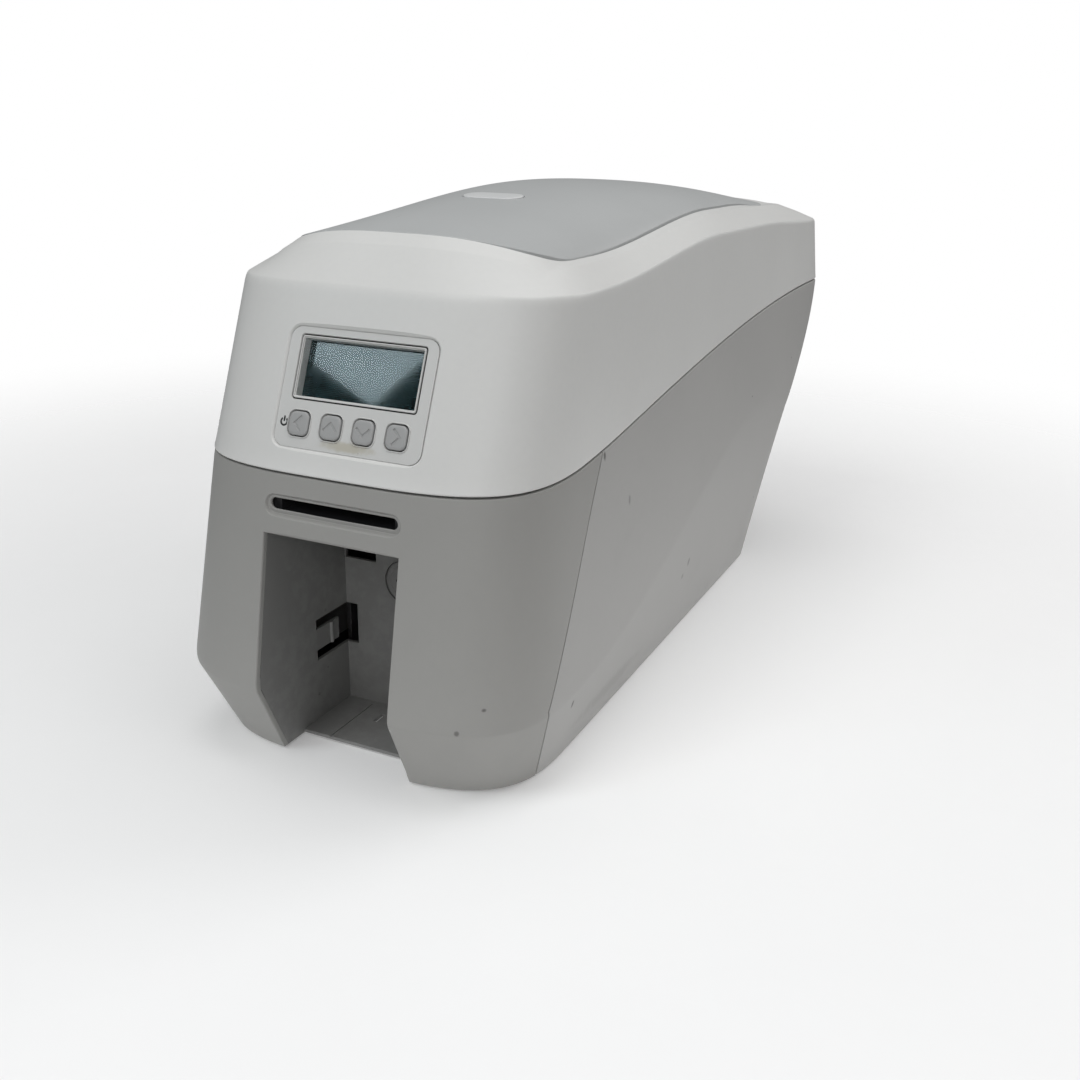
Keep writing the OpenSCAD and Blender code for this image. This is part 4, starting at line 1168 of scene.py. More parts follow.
def use_group(tree, name, inputs):
    if name not in GROUPS:
        GROUPS[name] = GROUP_MAKERS[name]()
    node = tree.nodes.new("ShaderNodeGroup")
    node.node_tree = GROUPS[name]
    for label, value in inputs.items():
        if isinstance(value, bpy.types.NodeSocket):
            tree.links.new(value, node.inputs[label])
        else:
            node.inputs[label].default_value = value
    return node.outputs


# Materials

def blend_colour(tree, factor, a, b, mode="MIX"):
    node = tree.nodes.new("ShaderNodeMix")
    node.data_type = "RGBA"
    node.blend_type = mode
    for index, value in ((0, factor), (6, a), (7, b)):
        if isinstance(value, bpy.types.NodeSocket):
            tree.links.new(value, node.inputs[index])
        else:
            node.inputs[index].default_value = value if index == 0 else (*value, 1.0)
    return node.outputs[2]


def new_material(name):
    """An empty material with a Principled shader; returns it with its tree, shader and object coordinates."""
    mat = bpy.data.materials.new(name)
    mat.use_nodes = True
    tree = mat.node_tree
    shader = tree.nodes["Principled BSDF"]
    where = tree.nodes.new("ShaderNodeTexCoord").outputs["Object"]
    return mat, tree, shader, where


def toned(colour, factor):
    return tuple(min(1.0, c * factor) for c in colour)


def set_surface(tree, shader, base, low, spread, share, height, strength, depth):
    """Links the colour, a roughness from low up by the spread, and a bump of this depth in millimetres."""
    tree.links.new(base, shader.inputs["Base Color"])
    gloss = plus(tree, times(tree, share, spread), low)
    tree.links.new(gloss, shader.inputs["Roughness"])
    bump = add(tree, "ShaderNodeBump", {"Height": height, "Strength": strength, "Distance": depth * MM})
    tree.links.new(bump.outputs[0], shader.inputs["Normal"])
    return gloss


def moulded(name, colour, rough=0.5, grain=1500.0, depth=0.02, dirt=0.05, wear=0.4, wear_tint=1.25,
            smudge=0.25, dirt_tint=(0.06, 0.055, 0.05), specular=0.5, stains=()):
    """Moulded plastic with grain, slow tone changes, specks, handling marks, edge wear and local stains.

    A stain is (centre, size, colour, strength), its centre and half sizes in millimetres of the body."""
    mat, tree, shader, where = new_material(name)
    skin = use_group(tree, "grain", {"Vector": where, "Scale": grain})
    base = blend_colour(tree, skin["Tone"], toned(colour, 0.93), toned(colour, 1.06))
    marks = use_group(tree, "smudge", {"Vector": where})
    base = blend_colour(tree, times(tree, marks["Patch"], smudge * 0.35), base, toned(colour, 0.72))
    base = blend_colour(tree, times(tree, marks["Streak"], smudge), base, toned(colour, 0.6))
    for centre, size, tint, strength in stains:
        spot = use_group(tree, "spot", {"Vector": where, "Centre": to_frame(centre),
                                        "Size": tuple(v * MM for v in size)})
        base = blend_colour(tree, times(tree, spot["Mask"], strength), base, tint)
    specks = use_group(tree, "specks", {"Vector": where, "Share": dirt})
    base = blend_colour(tree, times(tree, specks["Mask"], 0.7), base, dirt_tint)
    rubbed = use_group(tree, "wear", {"Vector": where, "Amount": wear})
    base = blend_colour(tree, rubbed["Mask"], base, toned(colour, wear_tint))
    gloss = set_surface(tree, shader, base, rough - 0.07, 0.14, skin["Tone"], skin["Height"], 1.0, depth)
    tree.links.new(minus(tree, gloss, times(tree, rubbed["Mask"], 0.12)), shader.inputs["Roughness"])
    shader.inputs["Specular IOR Level"].default_value = specular
    return mat


def steel(name, colour, rough=0.32, stretch=(1.0, 0.02, 1.0), scale=900.0, metallic=1.0, stain=0.25):
    """Metal with a drawn grain along one way, and faint tarnish."""
    mat, tree, shader, where = new_material(name)
    drawn = add(tree, "ShaderNodeMapping", {"Vector": where, "Scale": stretch})
    lines = noise(tree, drawn.outputs[0], scale, 3.0, 0.6)
    patch = ramp(tree, noise(tree, where, 45.0, 4.0, 0.6), 0.45, 0.75)
    base = blend_colour(tree, lines, toned(colour, 0.86), toned(colour, 1.08))
    base = blend_colour(tree, times(tree, patch, stain), base, toned(colour, 0.62))
    gloss = set_surface(tree, shader, base, rough - 0.1, 0.2, lines, lines, 0.5, 0.02)
    tree.links.new(plus(tree, gloss, times(tree, patch, 0.08)), shader.inputs["Roughness"])
    shader.inputs["Metallic"].default_value = metallic
    return mat


def rubber(name, colour, rough=0.75, scale=2200.0):
    """Ground or moulded rubber with a dusty bloom on what faces up."""
    mat, tree, shader, where = new_material(name)
    skin = use_group(tree, "grain", {"Vector": where, "Scale": scale})
    facing = add(tree, "ShaderNodeNewGeometry").outputs["Normal"]
    upward = add(tree, "ShaderNodeSeparateXYZ", {"Vector": facing}).outputs["Z"]
    bloom = times(tree, ramp(tree, upward, 0.2, 1.0), skin["Tone"])
    base = blend_colour(tree, times(tree, bloom, 0.25), colour, toned(colour, 3.0))
    set_surface(tree, shader, base, rough - 0.1, 0.2, skin["Tone"], skin["Height"], 1.0, 0.04)
    return mat


def film(name, dark, light):
    """Dye film on a roll: dark violet, glossy, with fine winding lines."""
    mat, tree, shader, where = new_material(name)
    wound = add(tree, "ShaderNodeMapping", {"Vector": where, "Scale": (1.0, 0.01, 0.01)})
    lines = noise(tree, wound.outputs[0], 1600.0, 2.0)
    set_surface(tree, shader, blend_colour(tree, lines, dark, light), 0.14, 0.15, lines, lines, 0.6, 0.02)
    return mat


def screen(name, colour, dust_tint=(0.2, 0.22, 0.22)):
    """Screen that is off: dark teal glass with a faint grid of cells under it."""
    mat, tree, shader, where = new_material(name)
    dust = use_group(tree, "smudge", {"Vector": where, "Scale": 60.0})
    cell = add(tree, "ShaderNodeTexBrick", {"Vector": where, "Scale": 900.0, "Mortar Size": 0.03})
    base = blend_colour(tree, times(tree, cell.outputs["Fac"], 0.25), colour, toned(colour, 0.6))
    base = blend_colour(tree, times(tree, dust["Patch"], 0.06), base, dust_tint)
    tree.links.new(base, shader.inputs["Base Color"])
    tree.links.new(plus(tree, times(tree, dust["Patch"], 0.02), 0.05), shader.inputs["Roughness"])
    shader.inputs["Specular IOR Level"].default_value = 0.8
    return mat


def clear_window(name, clean=(0.97, 0.99, 0.99), dusty=(0.94, 0.96, 0.96)):
    """Clear moulded window with faint handling marks."""
    mat, tree, shader, where = new_material(name)
    dust = use_group(tree, "smudge", {"Vector": where, "Scale": 40.0})
    base = blend_colour(tree, dust["Patch"], clean, dusty)
    set_surface(tree, shader, base, 0.015, 0.02, dust["Patch"], noise(tree, where, 55.0, 1.0), 0.1, 0.01)
    shader.inputs["Transmission Weight"].default_value = 1.0
    shader.inputs["IOR"].default_value = 1.12
    return mat


def circuit(name, lacquer=(0.010, 0.105, 0.035), track=(0.035, 0.21, 0.08), shade_tint=(0.005, 0.05, 0.02)):
    """Board with lacquer over copper tracks."""
    mat, tree, shader, where = new_material(name)
    slanted = add(tree, "ShaderNodeMapping", {"Vector": where, "Rotation": (0.0, 0.0, math.pi / 4)})
    tracks = add(tree, "ShaderNodeTexBrick", {"Vector": slanted.outputs[0], "Scale": 110.0,
                                              "Mortar Size": 0.035}).outputs["Fac"]
    skin = use_group(tree, "grain", {"Vector": where, "Scale": 700.0})
    base = blend_colour(tree, tracks, lacquer, track)
    base = blend_colour(tree, times(tree, skin["Tone"], 0.2), base, shade_tint)
    set_surface(tree, shader, base, 0.25, 0.15, skin["Tone"], tracks, 0.6, 0.035)
    return mat


MATERIALS = {}


def material(name, maker, *args, **settings):
    """A material of that name, made once."""
    if name not in MATERIALS:
        MATERIALS[name] = maker(name, *args, **settings)
    return MATERIALS[name]


KEY_GRIME = (0.50, 0.47, 0.38)
SCUFF = (0.11, 0.105, 0.10)
CHIP = (0.78, 0.77, 0.74)
PALE_DUST = (0.15, 0.14, 0.13)

# Marks of wear: centre and half sizes in millimetres of the body, colour and strength
SIDE_MARKS = (
    ((92.0, 226.0, 43.0), (25.0, 2.4, 3.4), SCUFF, 0.55),
    ((92.0, 219.0, 37.0), (25.0, 2.8, 2.2), SCUFF, 0.4),
    ((92.0, 64.0, 31.0), (25.0, 1.6, 2.8), SCUFF, 0.8),
    ((92.0, 126.0, 108.0), (25.0, 1.5, 3.4), SCUFF, 0.45),
    ((92.0, 100.5, 135.0), (25.0, 1.6, 3.0), SCUFF, 0.85),
    ((92.0, 120.0, 14.0), (25.0, 60.0, 6.0), SCUFF, 0.15),
)
FRONT_MARKS = (
    ((72.5, 8.0, 48.3), (1.3, 9.0, 1.1), SCUFF, 0.85),
    ((63.2, 7.0, 38.2), (1.4, 9.0, 1.7), SCUFF, 0.7),
    ((84.5, 9.0, 130.5), (1.9, 9.0, 0.9), SCUFF, 0.4),
    ((62.0, 7.0, 106.5), (0.8, 9.0, 0.8), SCUFF, 0.6),
    ((13.5, 6.0, 131.0), (0.8, 6.0, 0.8), SCUFF, 0.6),
    ((34.0, 6.0, 34.0), (1.0, 6.0, 1.2), CHIP, 0.8),
    ((87.0, 12.0, 116.0), (0.7, 12.0, 0.9), CHIP, 0.7),
    ((92.0, 84.0, 141.0), (25.0, 2.0, 2.4), SCUFF, 0.6),
)
PANEL_MARKS = ((tuple(on_front(PANEL_X + 1.0, 14.8, PANEL_FACE)), (17.0, 2.6, 3.0), KEY_GRIME, 0.75),)

# Outer plastics by the name of their colour: name of the material, then its settings
OUTER = {
    "cover": ("Cover Plastic", {"rough": 0.42, "grain": 1300.0, "depth": 0.006, "dirt": 0.008, "wear": 0.0,
                                "smudge": 0.12, "specular": 0.45}),
    "top_panel": ("Top Panel Plastic", {"rough": 0.46, "grain": 1200.0, "depth": 0.012, "dirt": 0.01,
                                        "wear": 0.15, "smudge": 0.2}),
    "base": ("Base Plastic", {"rough": 0.55, "grain": 900.0, "depth": 0.035, "dirt": 0.02, "wear": 0.2,
                              "specular": 0.4, "stains": SIDE_MARKS}),
    "fascia": ("Front Moulding Plastic", {"rough": 0.52, "grain": 900.0, "depth": 0.03, "dirt": 0.015,
                                          "wear": 0.25, "smudge": 0.22, "specular": 0.4,
                                          "stains": FRONT_MARKS}),
    "bay": ("Bay Plastic", {"grain": 1000.0, "wear": 0.5, "smudge": 0.45}),
    "display_panel": ("Display Panel Plastic", {"rough": 0.4, "grain": 1300.0, "depth": 0.006, "dirt": 0.06,
                                                "wear": 0.1, "smudge": 0.3, "stains": PANEL_MARKS}),
    "keys": ("Key Plastic", {"grain": 1800.0, "wear": 0.35, "smudge": 0.4}),
    "button": ("Button Plastic", {"rough": 0.38, "depth": 0.006, "dirt": 0.02, "wear": 0.1, "smudge": 0.2}),
}

# Inner and small materials: maker, its colours, then its settings
INNER = {
    "Black Inner Plastic": (moulded, ((0.022, 0.022, 0.024),), {
        "rough": 0.48, "grain": 1100.0, "depth": 0.03, "dirt": 0.02, "wear": 0.5, "wear_tint": 3.0,
        "smudge": 0.3, "dirt_tint": PALE_DUST}),
    "Slot Guide Plastic": (moulded, ((0.03, 0.03, 0.032),), {
        "rough": 0.42, "grain": 1100.0, "dirt": 0.03, "wear": 0.6, "wear_tint": 3.0, "smudge": 0.4,
        "dirt_tint": PALE_DUST}),
    "Gear Plastic": (moulded, ((0.74, 0.72, 0.66),), {
        "rough": 0.36, "grain": 2000.0, "depth": 0.01, "dirt": 0.02, "wear": 0.1}),
    "Printed Black": (moulded, ((0.012, 0.012, 0.013),), {
        "grain": 2500.0, "depth": 0.004, "dirt": 0.0, "wear": 0.0, "smudge": 0.1}),
    "Glazed Ceramic": (moulded, ((0.66, 0.60, 0.48),), {
        "rough": 0.15, "grain": 300.0, "depth": 0.004, "dirt": 0.0, "wear": 0.1, "smudge": 0.2}),
    "Feet Rubber": (rubber, ((0.012, 0.012, 0.012),), {}),
    # Near-black rubber of the ring round the window, painted shade for the gap there
    "Seal Rubber": (rubber, ((0.008, 0.008, 0.008),), {}),
    "Ground Rubber": (rubber, ((0.016, 0.016, 0.017),), {}),
    "Belt Rubber": (rubber, ((0.02, 0.02, 0.021),), {"rough": 0.6, "scale": 900.0}),
    "Cleaning Rubber": (rubber, ((0.05, 0.16, 0.30),), {"rough": 0.45, "scale": 700.0}),
    "Zinc Plated Steel": (steel, ((0.60, 0.61, 0.60),), {"rough": 0.36, "stretch": (1.0, 0.03, 1.0)}),
    "Ground Steel": (steel, ((0.70, 0.70, 0.71),), {
        "rough": 0.2, "stretch": (0.02, 1.0, 1.0), "scale": 2400.0, "stain": 0.1}),
    "Sintered Bronze": (steel, ((0.60, 0.40, 0.17),), {
        "rough": 0.4, "stretch": (1.0, 1.0, 1.0), "scale": 1500.0}),
    "Motor Can": (steel, ((0.035, 0.035, 0.038),), {
        "rough": 0.45, "stretch": (0.05, 1.0, 1.0), "metallic": 0.6}),
    "Coated Steel": (steel, ((0.11, 0.115, 0.12),), {
        "rough": 0.5, "stretch": (1.0, 1.0, 1.0), "scale": 500.0, "metallic": 0.4}),
    "Extruded Alloy": (steel, ((0.62, 0.63, 0.64),), {"rough": 0.34, "stretch": (0.02, 1.0, 1.0)}),
    "Dye Film": (film, ((0.045, 0.012, 0.10), (0.10, 0.03, 0.17)), {}),
    "Clear Window": (clear_window, (), {}),
    "Circuit Board": (circuit, (), {}),
}


def outer(colours, key):
    """The outer plastic whose colour is this one of the printer's settings."""
    name, settings = OUTER[key]
    return material(name, moulded, tuple(getattr(colours, key)), **settings)


def inner(name):
    maker, colours, settings = INNER[name]
    return material(name, maker, *colours, **settings)


# Inner parts

def solids(node):
    """Lowest and highest corners of each separate solid in a CAD node, in millimetres of the frame."""
    bm = bmesh.new()
    bm.from_mesh(frame["nodes"][node].data)
    bmesh.ops.remove_doubles(bm, verts=bm.verts, dist=0.002 * MM)
    waiting = set(bm.verts)
    boxes = []
    while waiting:
        border = [waiting.pop()]
        found = []
        while border:
            vert = border.pop()
            found.append(vert.co / MM)
            for edge in vert.link_edges:
                other = edge.other_vert(vert)
                if other in waiting:
                    waiting.remove(other)
                    border.append(other)
        boxes.append((Vector([min(p[i] for p in found) for i in range(3)]),
                      Vector([max(p[i] for p in found) for i in range(3)])))
    bm.free()
    return sorted(boxes, key=lambda b: tuple(round(v, 3) for v in b[0]))


def from_frame(p):
    """Back from millimetres of the frame to millimetres behind the chin."""
    return Vector((p[0], p[1] + BODY_MID, p[2]))


# Shoulder screw from its tip to its head: place across the body and radius
CATCH_SIDE = ((36.0, 1.5), (38.0, 1.5), (38.0, 2.0), (46.0, 2.0), (46.0, 2.8), (46.15, 3.0), (47.0, 3.0),
              (47.2, 2.8))
CATCH_SOCKET = ((46.4, 1.45), (48.0, 1.45))


def build_catch(side):
    """Shoulder screw through a chassis plate; its smooth neck is the catch of a cover hook."""
    screw = turned("catch", CATCH_AT, [(side * x, r) for x, r in CATCH_SIDE], 32)
    return shade(combine(screw, turned("socket", CATCH_AT, [(side * x, r) for x, r in CATCH_SOCKET], 6)))


def build_screws(metal):
    """Screws that hold the chassis plates' feet, one over each CAD screw, and the two catches."""
    upright = [(low, high) for low, high in solids("chassis_screws") if high.z < CATCH_AT[1] - 10]
    places = [from_frame(Vector(((low.x + high.x) / 2, (low.y + high.y) / 2, high.z - SCREW_HEAD)))
              for low, high in upright]
    low, high = upright[0]
    screws = run_tree("foot_screws", places, screw_tree(), metal,
                      {"Head Radius": (high.x - low.x) / 2 * MM, "Head Height": SCREW_HEAD * MM,
                       "Shank Radius": 1.5 * MM, "Shank Length": (high.z - low.z - SCREW_HEAD) * MM,
                       "Recess Width": 0.8 * MM})
    return joined("chassis_screws_finish", [screws, build_catch(-1), build_catch(1)])


FIN_COUNT = 5
FIN_PITCH = 4.6
FIN_WIDTH = 1.5
SINK_BASE = 8.6


def build_heat_sink(metal):
    low, high = (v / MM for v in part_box("heat_sink"))
    centre = from_frame((low + high) / 2)
    values = {"Length": (high.x - low.x) * MM, "Base Depth": (high.y - low.y) * MM,
              "Base Height": SINK_BASE * MM, "Fins": FIN_COUNT, "Fin Pitch": FIN_PITCH * MM,
              "Fin Height": (high.z - low.z - SINK_BASE) * MM, "Fin Thickness": FIN_WIDTH * MM}
    obj = run_tree("heat_sink_fins", [(centre.x, centre.y, low.z + SINK_BASE / 2)], fin_tree(), metal, values)
    return shade(round_edges(obj, 0.25))


SLOTS = {row["node"]: row["material_slot"] for row in frame["record"]["subparts"]}


def home(node):
    """Body and material slot of a CAD node."""
    return frame["nodes"][node]["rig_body"], SLOTS[node]


def stand_for(obj, coat, node, *others):
    """Gives a piece the body of the CAD node that it stands for and hides that node."""
    body, slot = home(node)
    return dress(obj, coat, body, slot, node, *others)


def finish_nodes(coat, nodes, radius=0.25, segments=2):
    """Dresses copies of CAD nodes with rounded edges."""
    for node in nodes:
        stand_for(refined(node, radius, segments), coat, node)


# Sizes and colours that a user would change

def colour_property(name, description, value):
    return FloatVectorProperty(name=name, description=description, subtype="COLOR", size=3, default=value,
                               min=0.0, max=1.0)


def power_property(name, description, watts):
    return FloatProperty(name=name, description=description, default=watts, min=0, unit="POWER")


class PrinterFinish(bpy.types.PropertyGroup):
    """Colours and fits of the printer."""
    base: colour_property("Base", "Grey of the lower housing", (0.452, 0.448, 0.437))
    fascia: colour_property("Front Moulding", "Grey of the front below the cover", (0.372, 0.368, 0.354))
    bay: colour_property("Card Bay", "Grey of the card bay's liner", (0.233, 0.232, 0.227))
    cover: colour_property("Cover", "Off-white of the hinged cover", (0.745, 0.745, 0.73))
    top_panel: colour_property("Top Panel", "Cool grey of the panel in the cover", (0.495, 0.507, 0.507))
    display_panel: colour_property("Display Panel", "Recessed panel round the screen and keys",
                                   (0.668, 0.668, 0.655))
    keys: colour_property("Keys", "Grey of the four keys", (0.40, 0.402, 0.40))
    button: colour_property("Release Button", "Pale button on the top panel", (0.72, 0.73, 0.73))
    screen: colour_property("Screen", "Dark teal of the screen when off", (0.012, 0.03, 0.034))
    joint_gap: FloatProperty(name="Joint Gap", description="Gap between the front moulding and the base",
                             default=0.001, min=0.0001, max=0.002, subtype="DISTANCE", unit="LENGTH")
    edge_radius: FloatProperty(name="Edge Radius", description="Rounding on the edges of inner parts",
                               default=0.00025, min=0.0, max=0.001, subtype="DISTANCE", unit="LENGTH")


class PrinterStage(bpy.types.PropertyGroup):
    """Camera, floor and studio light."""
    lens: FloatProperty(name="Lens", description="Focal length of the camera", default=38.5, min=20, max=100,
                        subtype="DISTANCE_CAMERA", unit="CAMERA")
    key_power: power_property("Key Light", "Power of the high light in front", 7.9)
    front_power: power_property("Front Light", "Power of the soft light beside the camera", 4.7)
    top_power: power_property("Top Light", "Power of the soft light overhead", 13.3)
    fill_power: power_property("Fill Light", "Power of the light from the right", 2.0)
    rear_power: power_property("Rear Light", "Power of the light from behind on the right", 9.0)
    glint_power: power_property("Screen Glint", "Power of the small light that the screen mirrors", 1.15)
    ambient: FloatProperty(name="Ambient", description="Strength of the even light from all round",
                           default=0.05, min=0, max=2)
    floor_radius: FloatProperty(name="Floor Radius", description="Radius at which the floor has faded out",
                                default=0.9, min=0.5, max=6, subtype="DISTANCE", unit="LENGTH")


class BuildBase(bpy.types.Operator):
    """Grey base housing with its swept crease, louvres, socket window and feet"""
    bl_idname = "card_printer.build_base"
    bl_label = "Base Housing"

    def execute(self, context):
        finish = context.scene.printer_finish
        stand_for(build_base(finish), outer(finish, "base"), "base_shell")
        finish_nodes(inner("Black Inner Plastic"), ["base_tray"])
        finish_nodes(inner("Feet Rubber"), ["rubber_feet"], 0.8, 3)
        return {"FINISHED"}


class BuildFrontMoulding(bpy.types.Operator):
    """Separate grey moulding in front, with the hand-feed slot and the mouth of the bay"""
    bl_idname = "card_printer.build_front_moulding"
    bl_label = "Front Moulding"

    def execute(self, context):
        stand_for(build_fascia(), outer(context.scene.printer_finish, "fascia"), "front_fascia")
        finish_nodes(inner("Slot Guide Plastic"), ["slot_guide"], 0.15)
        return {"FINISHED"}


class BuildCardBay(bpy.types.Operator):
    """Liner of the card bay with its spring tongue, and the round plug in its back wall"""
    bl_idname = "card_printer.build_card_bay"
    bl_label = "Card Bay"

    def execute(self, context):
        coat = outer(context.scene.printer_finish, "bay")
        stand_for(build_bay(), coat, "hopper_bay")
        stand_for(build_plug(), coat, "bay_plug")
        return {"FINISHED"}


class BuildCover(bpy.types.Operator):
    """White hinged cover with its rolled lower edge and the posts under its roof"""
    bl_idname = "card_printer.build_cover"
    bl_label = "Cover"

    def execute(self, context):
        stand_for(build_cover(), outer(context.scene.printer_finish, "cover"), "lid_shell")
        return {"FINISHED"}


class BuildTopPanel(bpy.types.Operator):
    """Crowned grey panel let into the cover"""
    bl_idname = "card_printer.build_top_panel"
    bl_label = "Top Panel"

    def execute(self, context):
        stand_for(build_top_panel(), outer(context.scene.printer_finish, "top_panel"), "top_panel")
        return {"FINISHED"}


class BuildReleaseButton(bpy.types.Operator):
    """Pale release button on the top panel"""
    bl_idname = "card_printer.build_release_button"
    bl_label = "Release Button"

    def execute(self, context):
        stand_for(build_button(), outer(context.scene.printer_finish, "button"), "release_button")
        return {"FINISHED"}


class BuildDisplay(bpy.types.Operator):
    """Recessed display panel, window frame, clear window, screen and keypad board"""
    bl_idname = "card_printer.build_display"
    bl_label = "Display"

    def execute(self, context):
        finish = context.scene.printer_finish
        coat = outer(finish, "display_panel")
        stand_for(build_bezel(), coat, "display_bezel")
        dress(build_window_frame(), coat, "lid", SLOTS["display_bezel"])
        # The near-black ring round the window is painted shade for the gap there
        dress(build_gap_shade_ring(), inner("Seal Rubber"), "lid", SLOTS["display_bezel"])
        stand_for(build_window(), inner("Clear Window"), "display_window")
        glass, board = build_screen()
        stand_for(glass, material("Dark Screen", screen, tuple(finish.screen)), "lcd_module")
        dress(board, inner("Circuit Board"), "lid", SLOTS["keypad_board"])
        finish_nodes(inner("Circuit Board"), ["keypad_board"], 0.1, 1)
        dress(build_power_mark(), inner("Printed Black"), "lid", SLOTS["display_bezel"])
        return {"FINISHED"}


class BuildKeys(bpy.types.Operator):
    """Four grey keys with arrows sunk into them"""
    bl_idname = "card_printer.build_keys"
    bl_label = "Keys"

    def execute(self, context):
        coat = outer(context.scene.printer_finish, "keys")
        for index, node in enumerate(KEY_NODES):
            stand_for(build_key(index, node), coat, node)
        return {"FINISHED"}


class BuildChassis(bpy.types.Operator):
    """Side plates, card deck, chute, hinge brackets and the screws that hold them"""
    bl_idname = "card_printer.build_chassis"
    bl_label = "Chassis"

    def execute(self, context):
        radius = context.scene.printer_finish.edge_radius / MM
        plates = ["chassis_plate_left", "chassis_plate_right", "hinge_brackets"]
        finish_nodes(inner("Zinc Plated Steel"), plates, radius)
        finish_nodes(inner("Ground Steel"), ["hinge_pins", "idler_stud"], radius)
        finish_nodes(inner("Black Inner Plastic"), ["card_deck", "exit_chute"], radius)
        stand_for(build_screws(inner("Ground Steel")), inner("Ground Steel"), "chassis_screws")
        return {"FINISHED"}


class BuildDrive(bpy.types.Operator):
    """Motor, gears, belts and the rollers that carry the card"""
    bl_idname = "card_printer.build_drive"
    bl_label = "Rollers and Drive"

    def execute(self, context):
        radius = context.scene.printer_finish.edge_radius / MM
        shafts = ["platen_shaft", "feed_shaft_front", "feed_shaft_rear", "pinch_roller_front",
                  "pinch_roller_rear"]
        wheels = ["platen_gear", "idler_gear", "feed_pulley_front", "feed_pulley_rear"]
        finish_nodes(inner("Ground Steel"), shafts, radius)
        finish_nodes(inner("Ground Rubber"), ["platen_rubber", "feed_tyres_front", "feed_tyres_rear"], radius)
        finish_nodes(inner("Belt Rubber"), ["drive_belts"], 0.1)
        finish_nodes(inner("Gear Plastic"), wheels, 0.12, 1)
        finish_nodes(inner("Sintered Bronze"), ["shaft_bushes", "motor_pinion"], 0.12, 1)
        finish_nodes(inner("Motor Can"), ["drive_motor"], 0.4, 3)
        finish_nodes(inner("Cleaning Rubber"), ["cleaning_roller"], radius)
        return {"FINISHED"}


class BuildSockets(bpy.types.Operator):
    """Main board and the sockets at the rear"""
    bl_idname = "card_printer.build_sockets"
    bl_label = "Board and Sockets"

    def execute(self, context):
        radius = context.scene.printer_finish.edge_radius / MM
        finish_nodes(inner("Black Inner Plastic"), ["socket_panel", "power_inlet"], radius)
        finish_nodes(inner("Ground Steel"), ["usb_socket", "network_socket"], 0.15)
        finish_nodes(inner("Circuit Board"), ["main_board"], 0.1, 1)
        return {"FINISHED"}


class BuildPrintUnit(bpy.types.Operator):
    """Print head on its bracket, heat sink, cover frame, latch and hinge arms"""
    bl_idname = "card_printer.build_print_unit"
    bl_label = "Print Unit and Latch"

    def execute(self, context):
        radius = context.scene.printer_finish.edge_radius / MM
        finish_nodes(inner("Coated Steel"), ["hinge_arms", "printhead_bracket"], radius)
        finish_nodes(inner("Zinc Plated Steel"), ["latch_bar", "latch_hooks"], radius)
        finish_nodes(inner("Black Inner Plastic"), ["lid_frame"], radius)
        alloy = inner("Extruded Alloy")
        stand_for(build_heat_sink(alloy), alloy, "heat_sink")
        finish_nodes(inner("Glazed Ceramic"), ["print_bar"], radius)
        return {"FINISHED"}


class BuildFilm(bpy.types.Operator):
    """Supply and take-up spools with the film between them"""
    bl_idname = "card_printer.build_film"
    bl_label = "Film and Spools"

    def execute(self, context):
        radius = context.scene.printer_finish.edge_radius / MM
        finish_nodes(inner("Black Inner Plastic"), ["supply_spool", "take_up_spool"], radius)
        finish_nodes(inner("Dye Film"), ["supply_film", "take_up_film", "ribbon_web"], 0.05, 1)
        return {"FINISHED"}


# Stage

CAMERA_AT = (0.26682, -0.58517, 0.27167)
CAMERA_TURN = (70.1019, -1.0871, 25.2565)
CAMERA_SHIFT = (-0.0014, 0.0010)
SENSOR_WIDTH = 36.0
# Place that the lights aim at, then for each light its place, the side of its square and its power's name
LIT_PLACE = (0.0, 0.0, 0.15)
LIGHTS = {
    "key_light": ((-0.35, -1.05, 1.5), 0.7, "key_power"),
    "front_light": ((0.55, -1.5, 0.75), 0.9, "front_power"),
    "top_light": ((0.15, 0.1, 1.7), 1.6, "top_power"),
    "fill_light": ((1.5, -0.5, 0.7), 1.2, "fill_power"),
    "rear_light": ((1.1, 1.3, 1.0), 1.0, "rear_power"),
}
# Light that the screen mirrors, hung so that its near corner shows there as a V
GLINT_AT = (-0.705, -1.039, 0.815)
GLINT_AIM = (-0.226, -0.729, -0.006)
GLINT_ROLL = 85.8
GLINT_SIDE = 0.32
GLINT_COLOUR = (0.76, 0.93, 1.0)
WHITE = (1.0, 1.0, 1.0, 1.0)
# Share of the floor's radius at which it starts to fade
FADE_START = 0.2


def area_light(name, at, aim, size, power):
    data = bpy.data.lights.new(name, "AREA")
    data.shape = "SQUARE"
    data.size = size
    data.energy = power
    lamp = link_new(name, data)
    turn = (Vector(aim) - Vector(at)).to_track_quat("-Z", "Y").to_matrix().to_4x4()
    lamp.matrix_world = Matrix.Translation(at) @ turn
    return lamp


def floor_material(radius):
    """Pale floor that fades out far from the printer."""
    mat, tree, shader, where = new_material("Pale Floor")
    skin = use_group(tree, "grain", {"Vector": where, "Scale": 300.0})
    base = blend_colour(tree, skin["Tone"], (0.86, 0.86, 0.86), (0.90, 0.90, 0.90))
    tree.links.new(base, shader.inputs["Base Color"])
    shader.inputs["Roughness"].default_value = 0.65
    shader.inputs["Emission Color"].default_value = WHITE
    shader.inputs["Emission Strength"].default_value = 0.16
    away = add(tree, "ShaderNodeVectorMath", {0: where}, operation="LENGTH").outputs["Value"]
    faded = ramp(tree, away, FADE_START * radius, radius)
    tree.links.new(minus(tree, 1.0, faded), shader.inputs["Alpha"])
    return mat


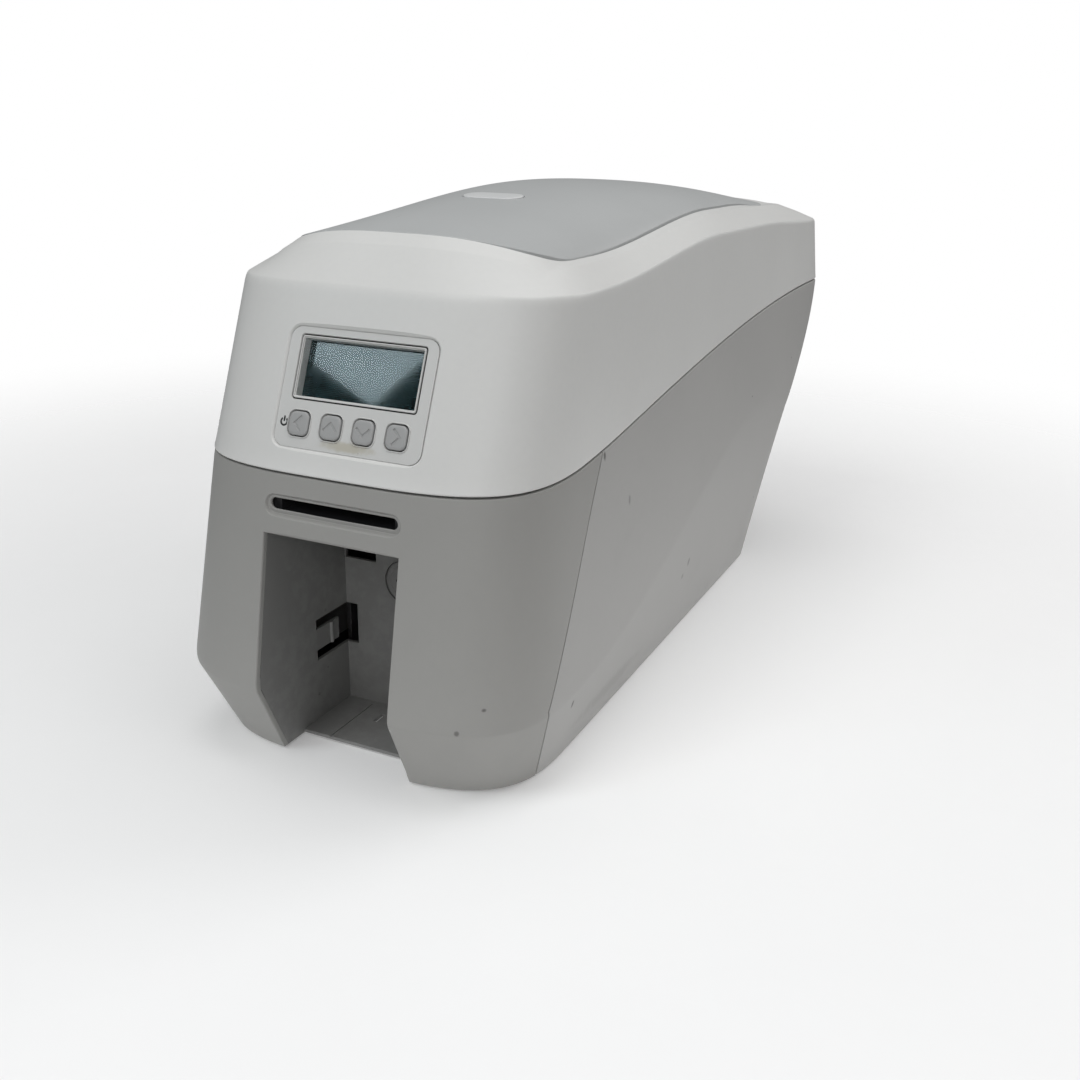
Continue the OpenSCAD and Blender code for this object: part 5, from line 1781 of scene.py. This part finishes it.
class BuildStage(bpy.types.Operator):
    """Pale floor, soft studio light and the camera"""
    bl_idname = "card_printer.build_stage"
    bl_label = "Stage"

    def execute(self, context):
        scene = context.scene
        look = scene.printer_stage
        bm = bmesh.new()
        bmesh.ops.create_circle(bm, cap_ends=True, segments=96, radius=look.floor_radius)
        mesh = bpy.data.meshes.new("floor")
        bm.to_mesh(mesh)
        bm.free()
        mesh.materials.append(floor_material(look.floor_radius))
        link_new("floor", mesh)

        data = bpy.data.cameras.new("photo_camera")
        data.lens = look.lens
        data.sensor_width = SENSOR_WIDTH
        data.shift_x, data.shift_y = CAMERA_SHIFT
        data.clip_start = 0.01
        data.dof.use_dof = False
        camera = link_new("photo_camera", data)
        camera.location = CAMERA_AT
        camera.rotation_euler = [math.radians(v) for v in CAMERA_TURN]
        scene.camera = camera

        for name, (at, size, power) in LIGHTS.items():
            area_light(name, at, LIT_PLACE, size, getattr(look, power))
        glint = area_light("screen_glint", GLINT_AT, GLINT_AIM, GLINT_SIDE, look.glint_power)
        glint.matrix_world = glint.matrix_world @ Matrix.Rotation(math.radians(GLINT_ROLL), 4, "Z")
        glint.data.color = GLINT_COLOUR

        world = bpy.data.worlds.new("studio")
        scene.world = world
        world.use_nodes = True
        tree = world.node_tree
        tree.nodes.clear()
        path = add(tree, "ShaderNodeLightPath")
        seen = add(tree, "ShaderNodeBackground", {"Color": WHITE, "Strength": 1.0})
        light = add(tree, "ShaderNodeBackground", {"Color": WHITE, "Strength": look.ambient})
        mixed = add(tree, "ShaderNodeMixShader", {0: path.outputs["Is Camera Ray"], 1: light.outputs[0],
                                                  2: seen.outputs[0]})
        add(tree, "ShaderNodeOutputWorld", {"Surface": mixed.outputs[0]})
        scene.view_settings.view_transform = "Standard"
        return {"FINISHED"}


STEPS = (BuildStage, BuildBase, BuildFrontMoulding, BuildCardBay, BuildCover, BuildTopPanel,
         BuildReleaseButton, BuildDisplay, BuildKeys, BuildChassis, BuildDrive, BuildSockets, BuildPrintUnit,
         BuildFilm)


class CardPrinterPanel(bpy.types.Panel):
    """Sizes, colours and building steps of the card printer"""
    bl_idname = "VIEW3D_PT_card_printer"
    bl_label = "Card Printer"
    bl_space_type = "VIEW_3D"
    bl_region_type = "UI"
    bl_category = "Card Printer"

    def draw(self, context):
        layout = self.layout
        for group in (context.scene.printer_finish, context.scene.printer_stage):
            for name in group.__annotations__:
                layout.prop(group, name)
        for step in STEPS:
            layout.operator(step.bl_idname)


CLASSES = (PrinterFinish, PrinterStage) + STEPS + (CardPrinterPanel,)


def register():
    for item in CLASSES:
        bpy.utils.register_class(item)
    bpy.types.Scene.printer_finish = PointerProperty(type=PrinterFinish)
    bpy.types.Scene.printer_stage = PointerProperty(type=PrinterStage)


def unregister():
    del bpy.types.Scene.printer_stage
    del bpy.types.Scene.printer_finish
    for item in reversed(CLASSES):
        bpy.utils.unregister_class(item)


def main():
    register()
    for step in STEPS:
        group, name = step.bl_idname.split(".")
        getattr(getattr(bpy.ops, group), name)()


if __name__ == "__main__":
    main()
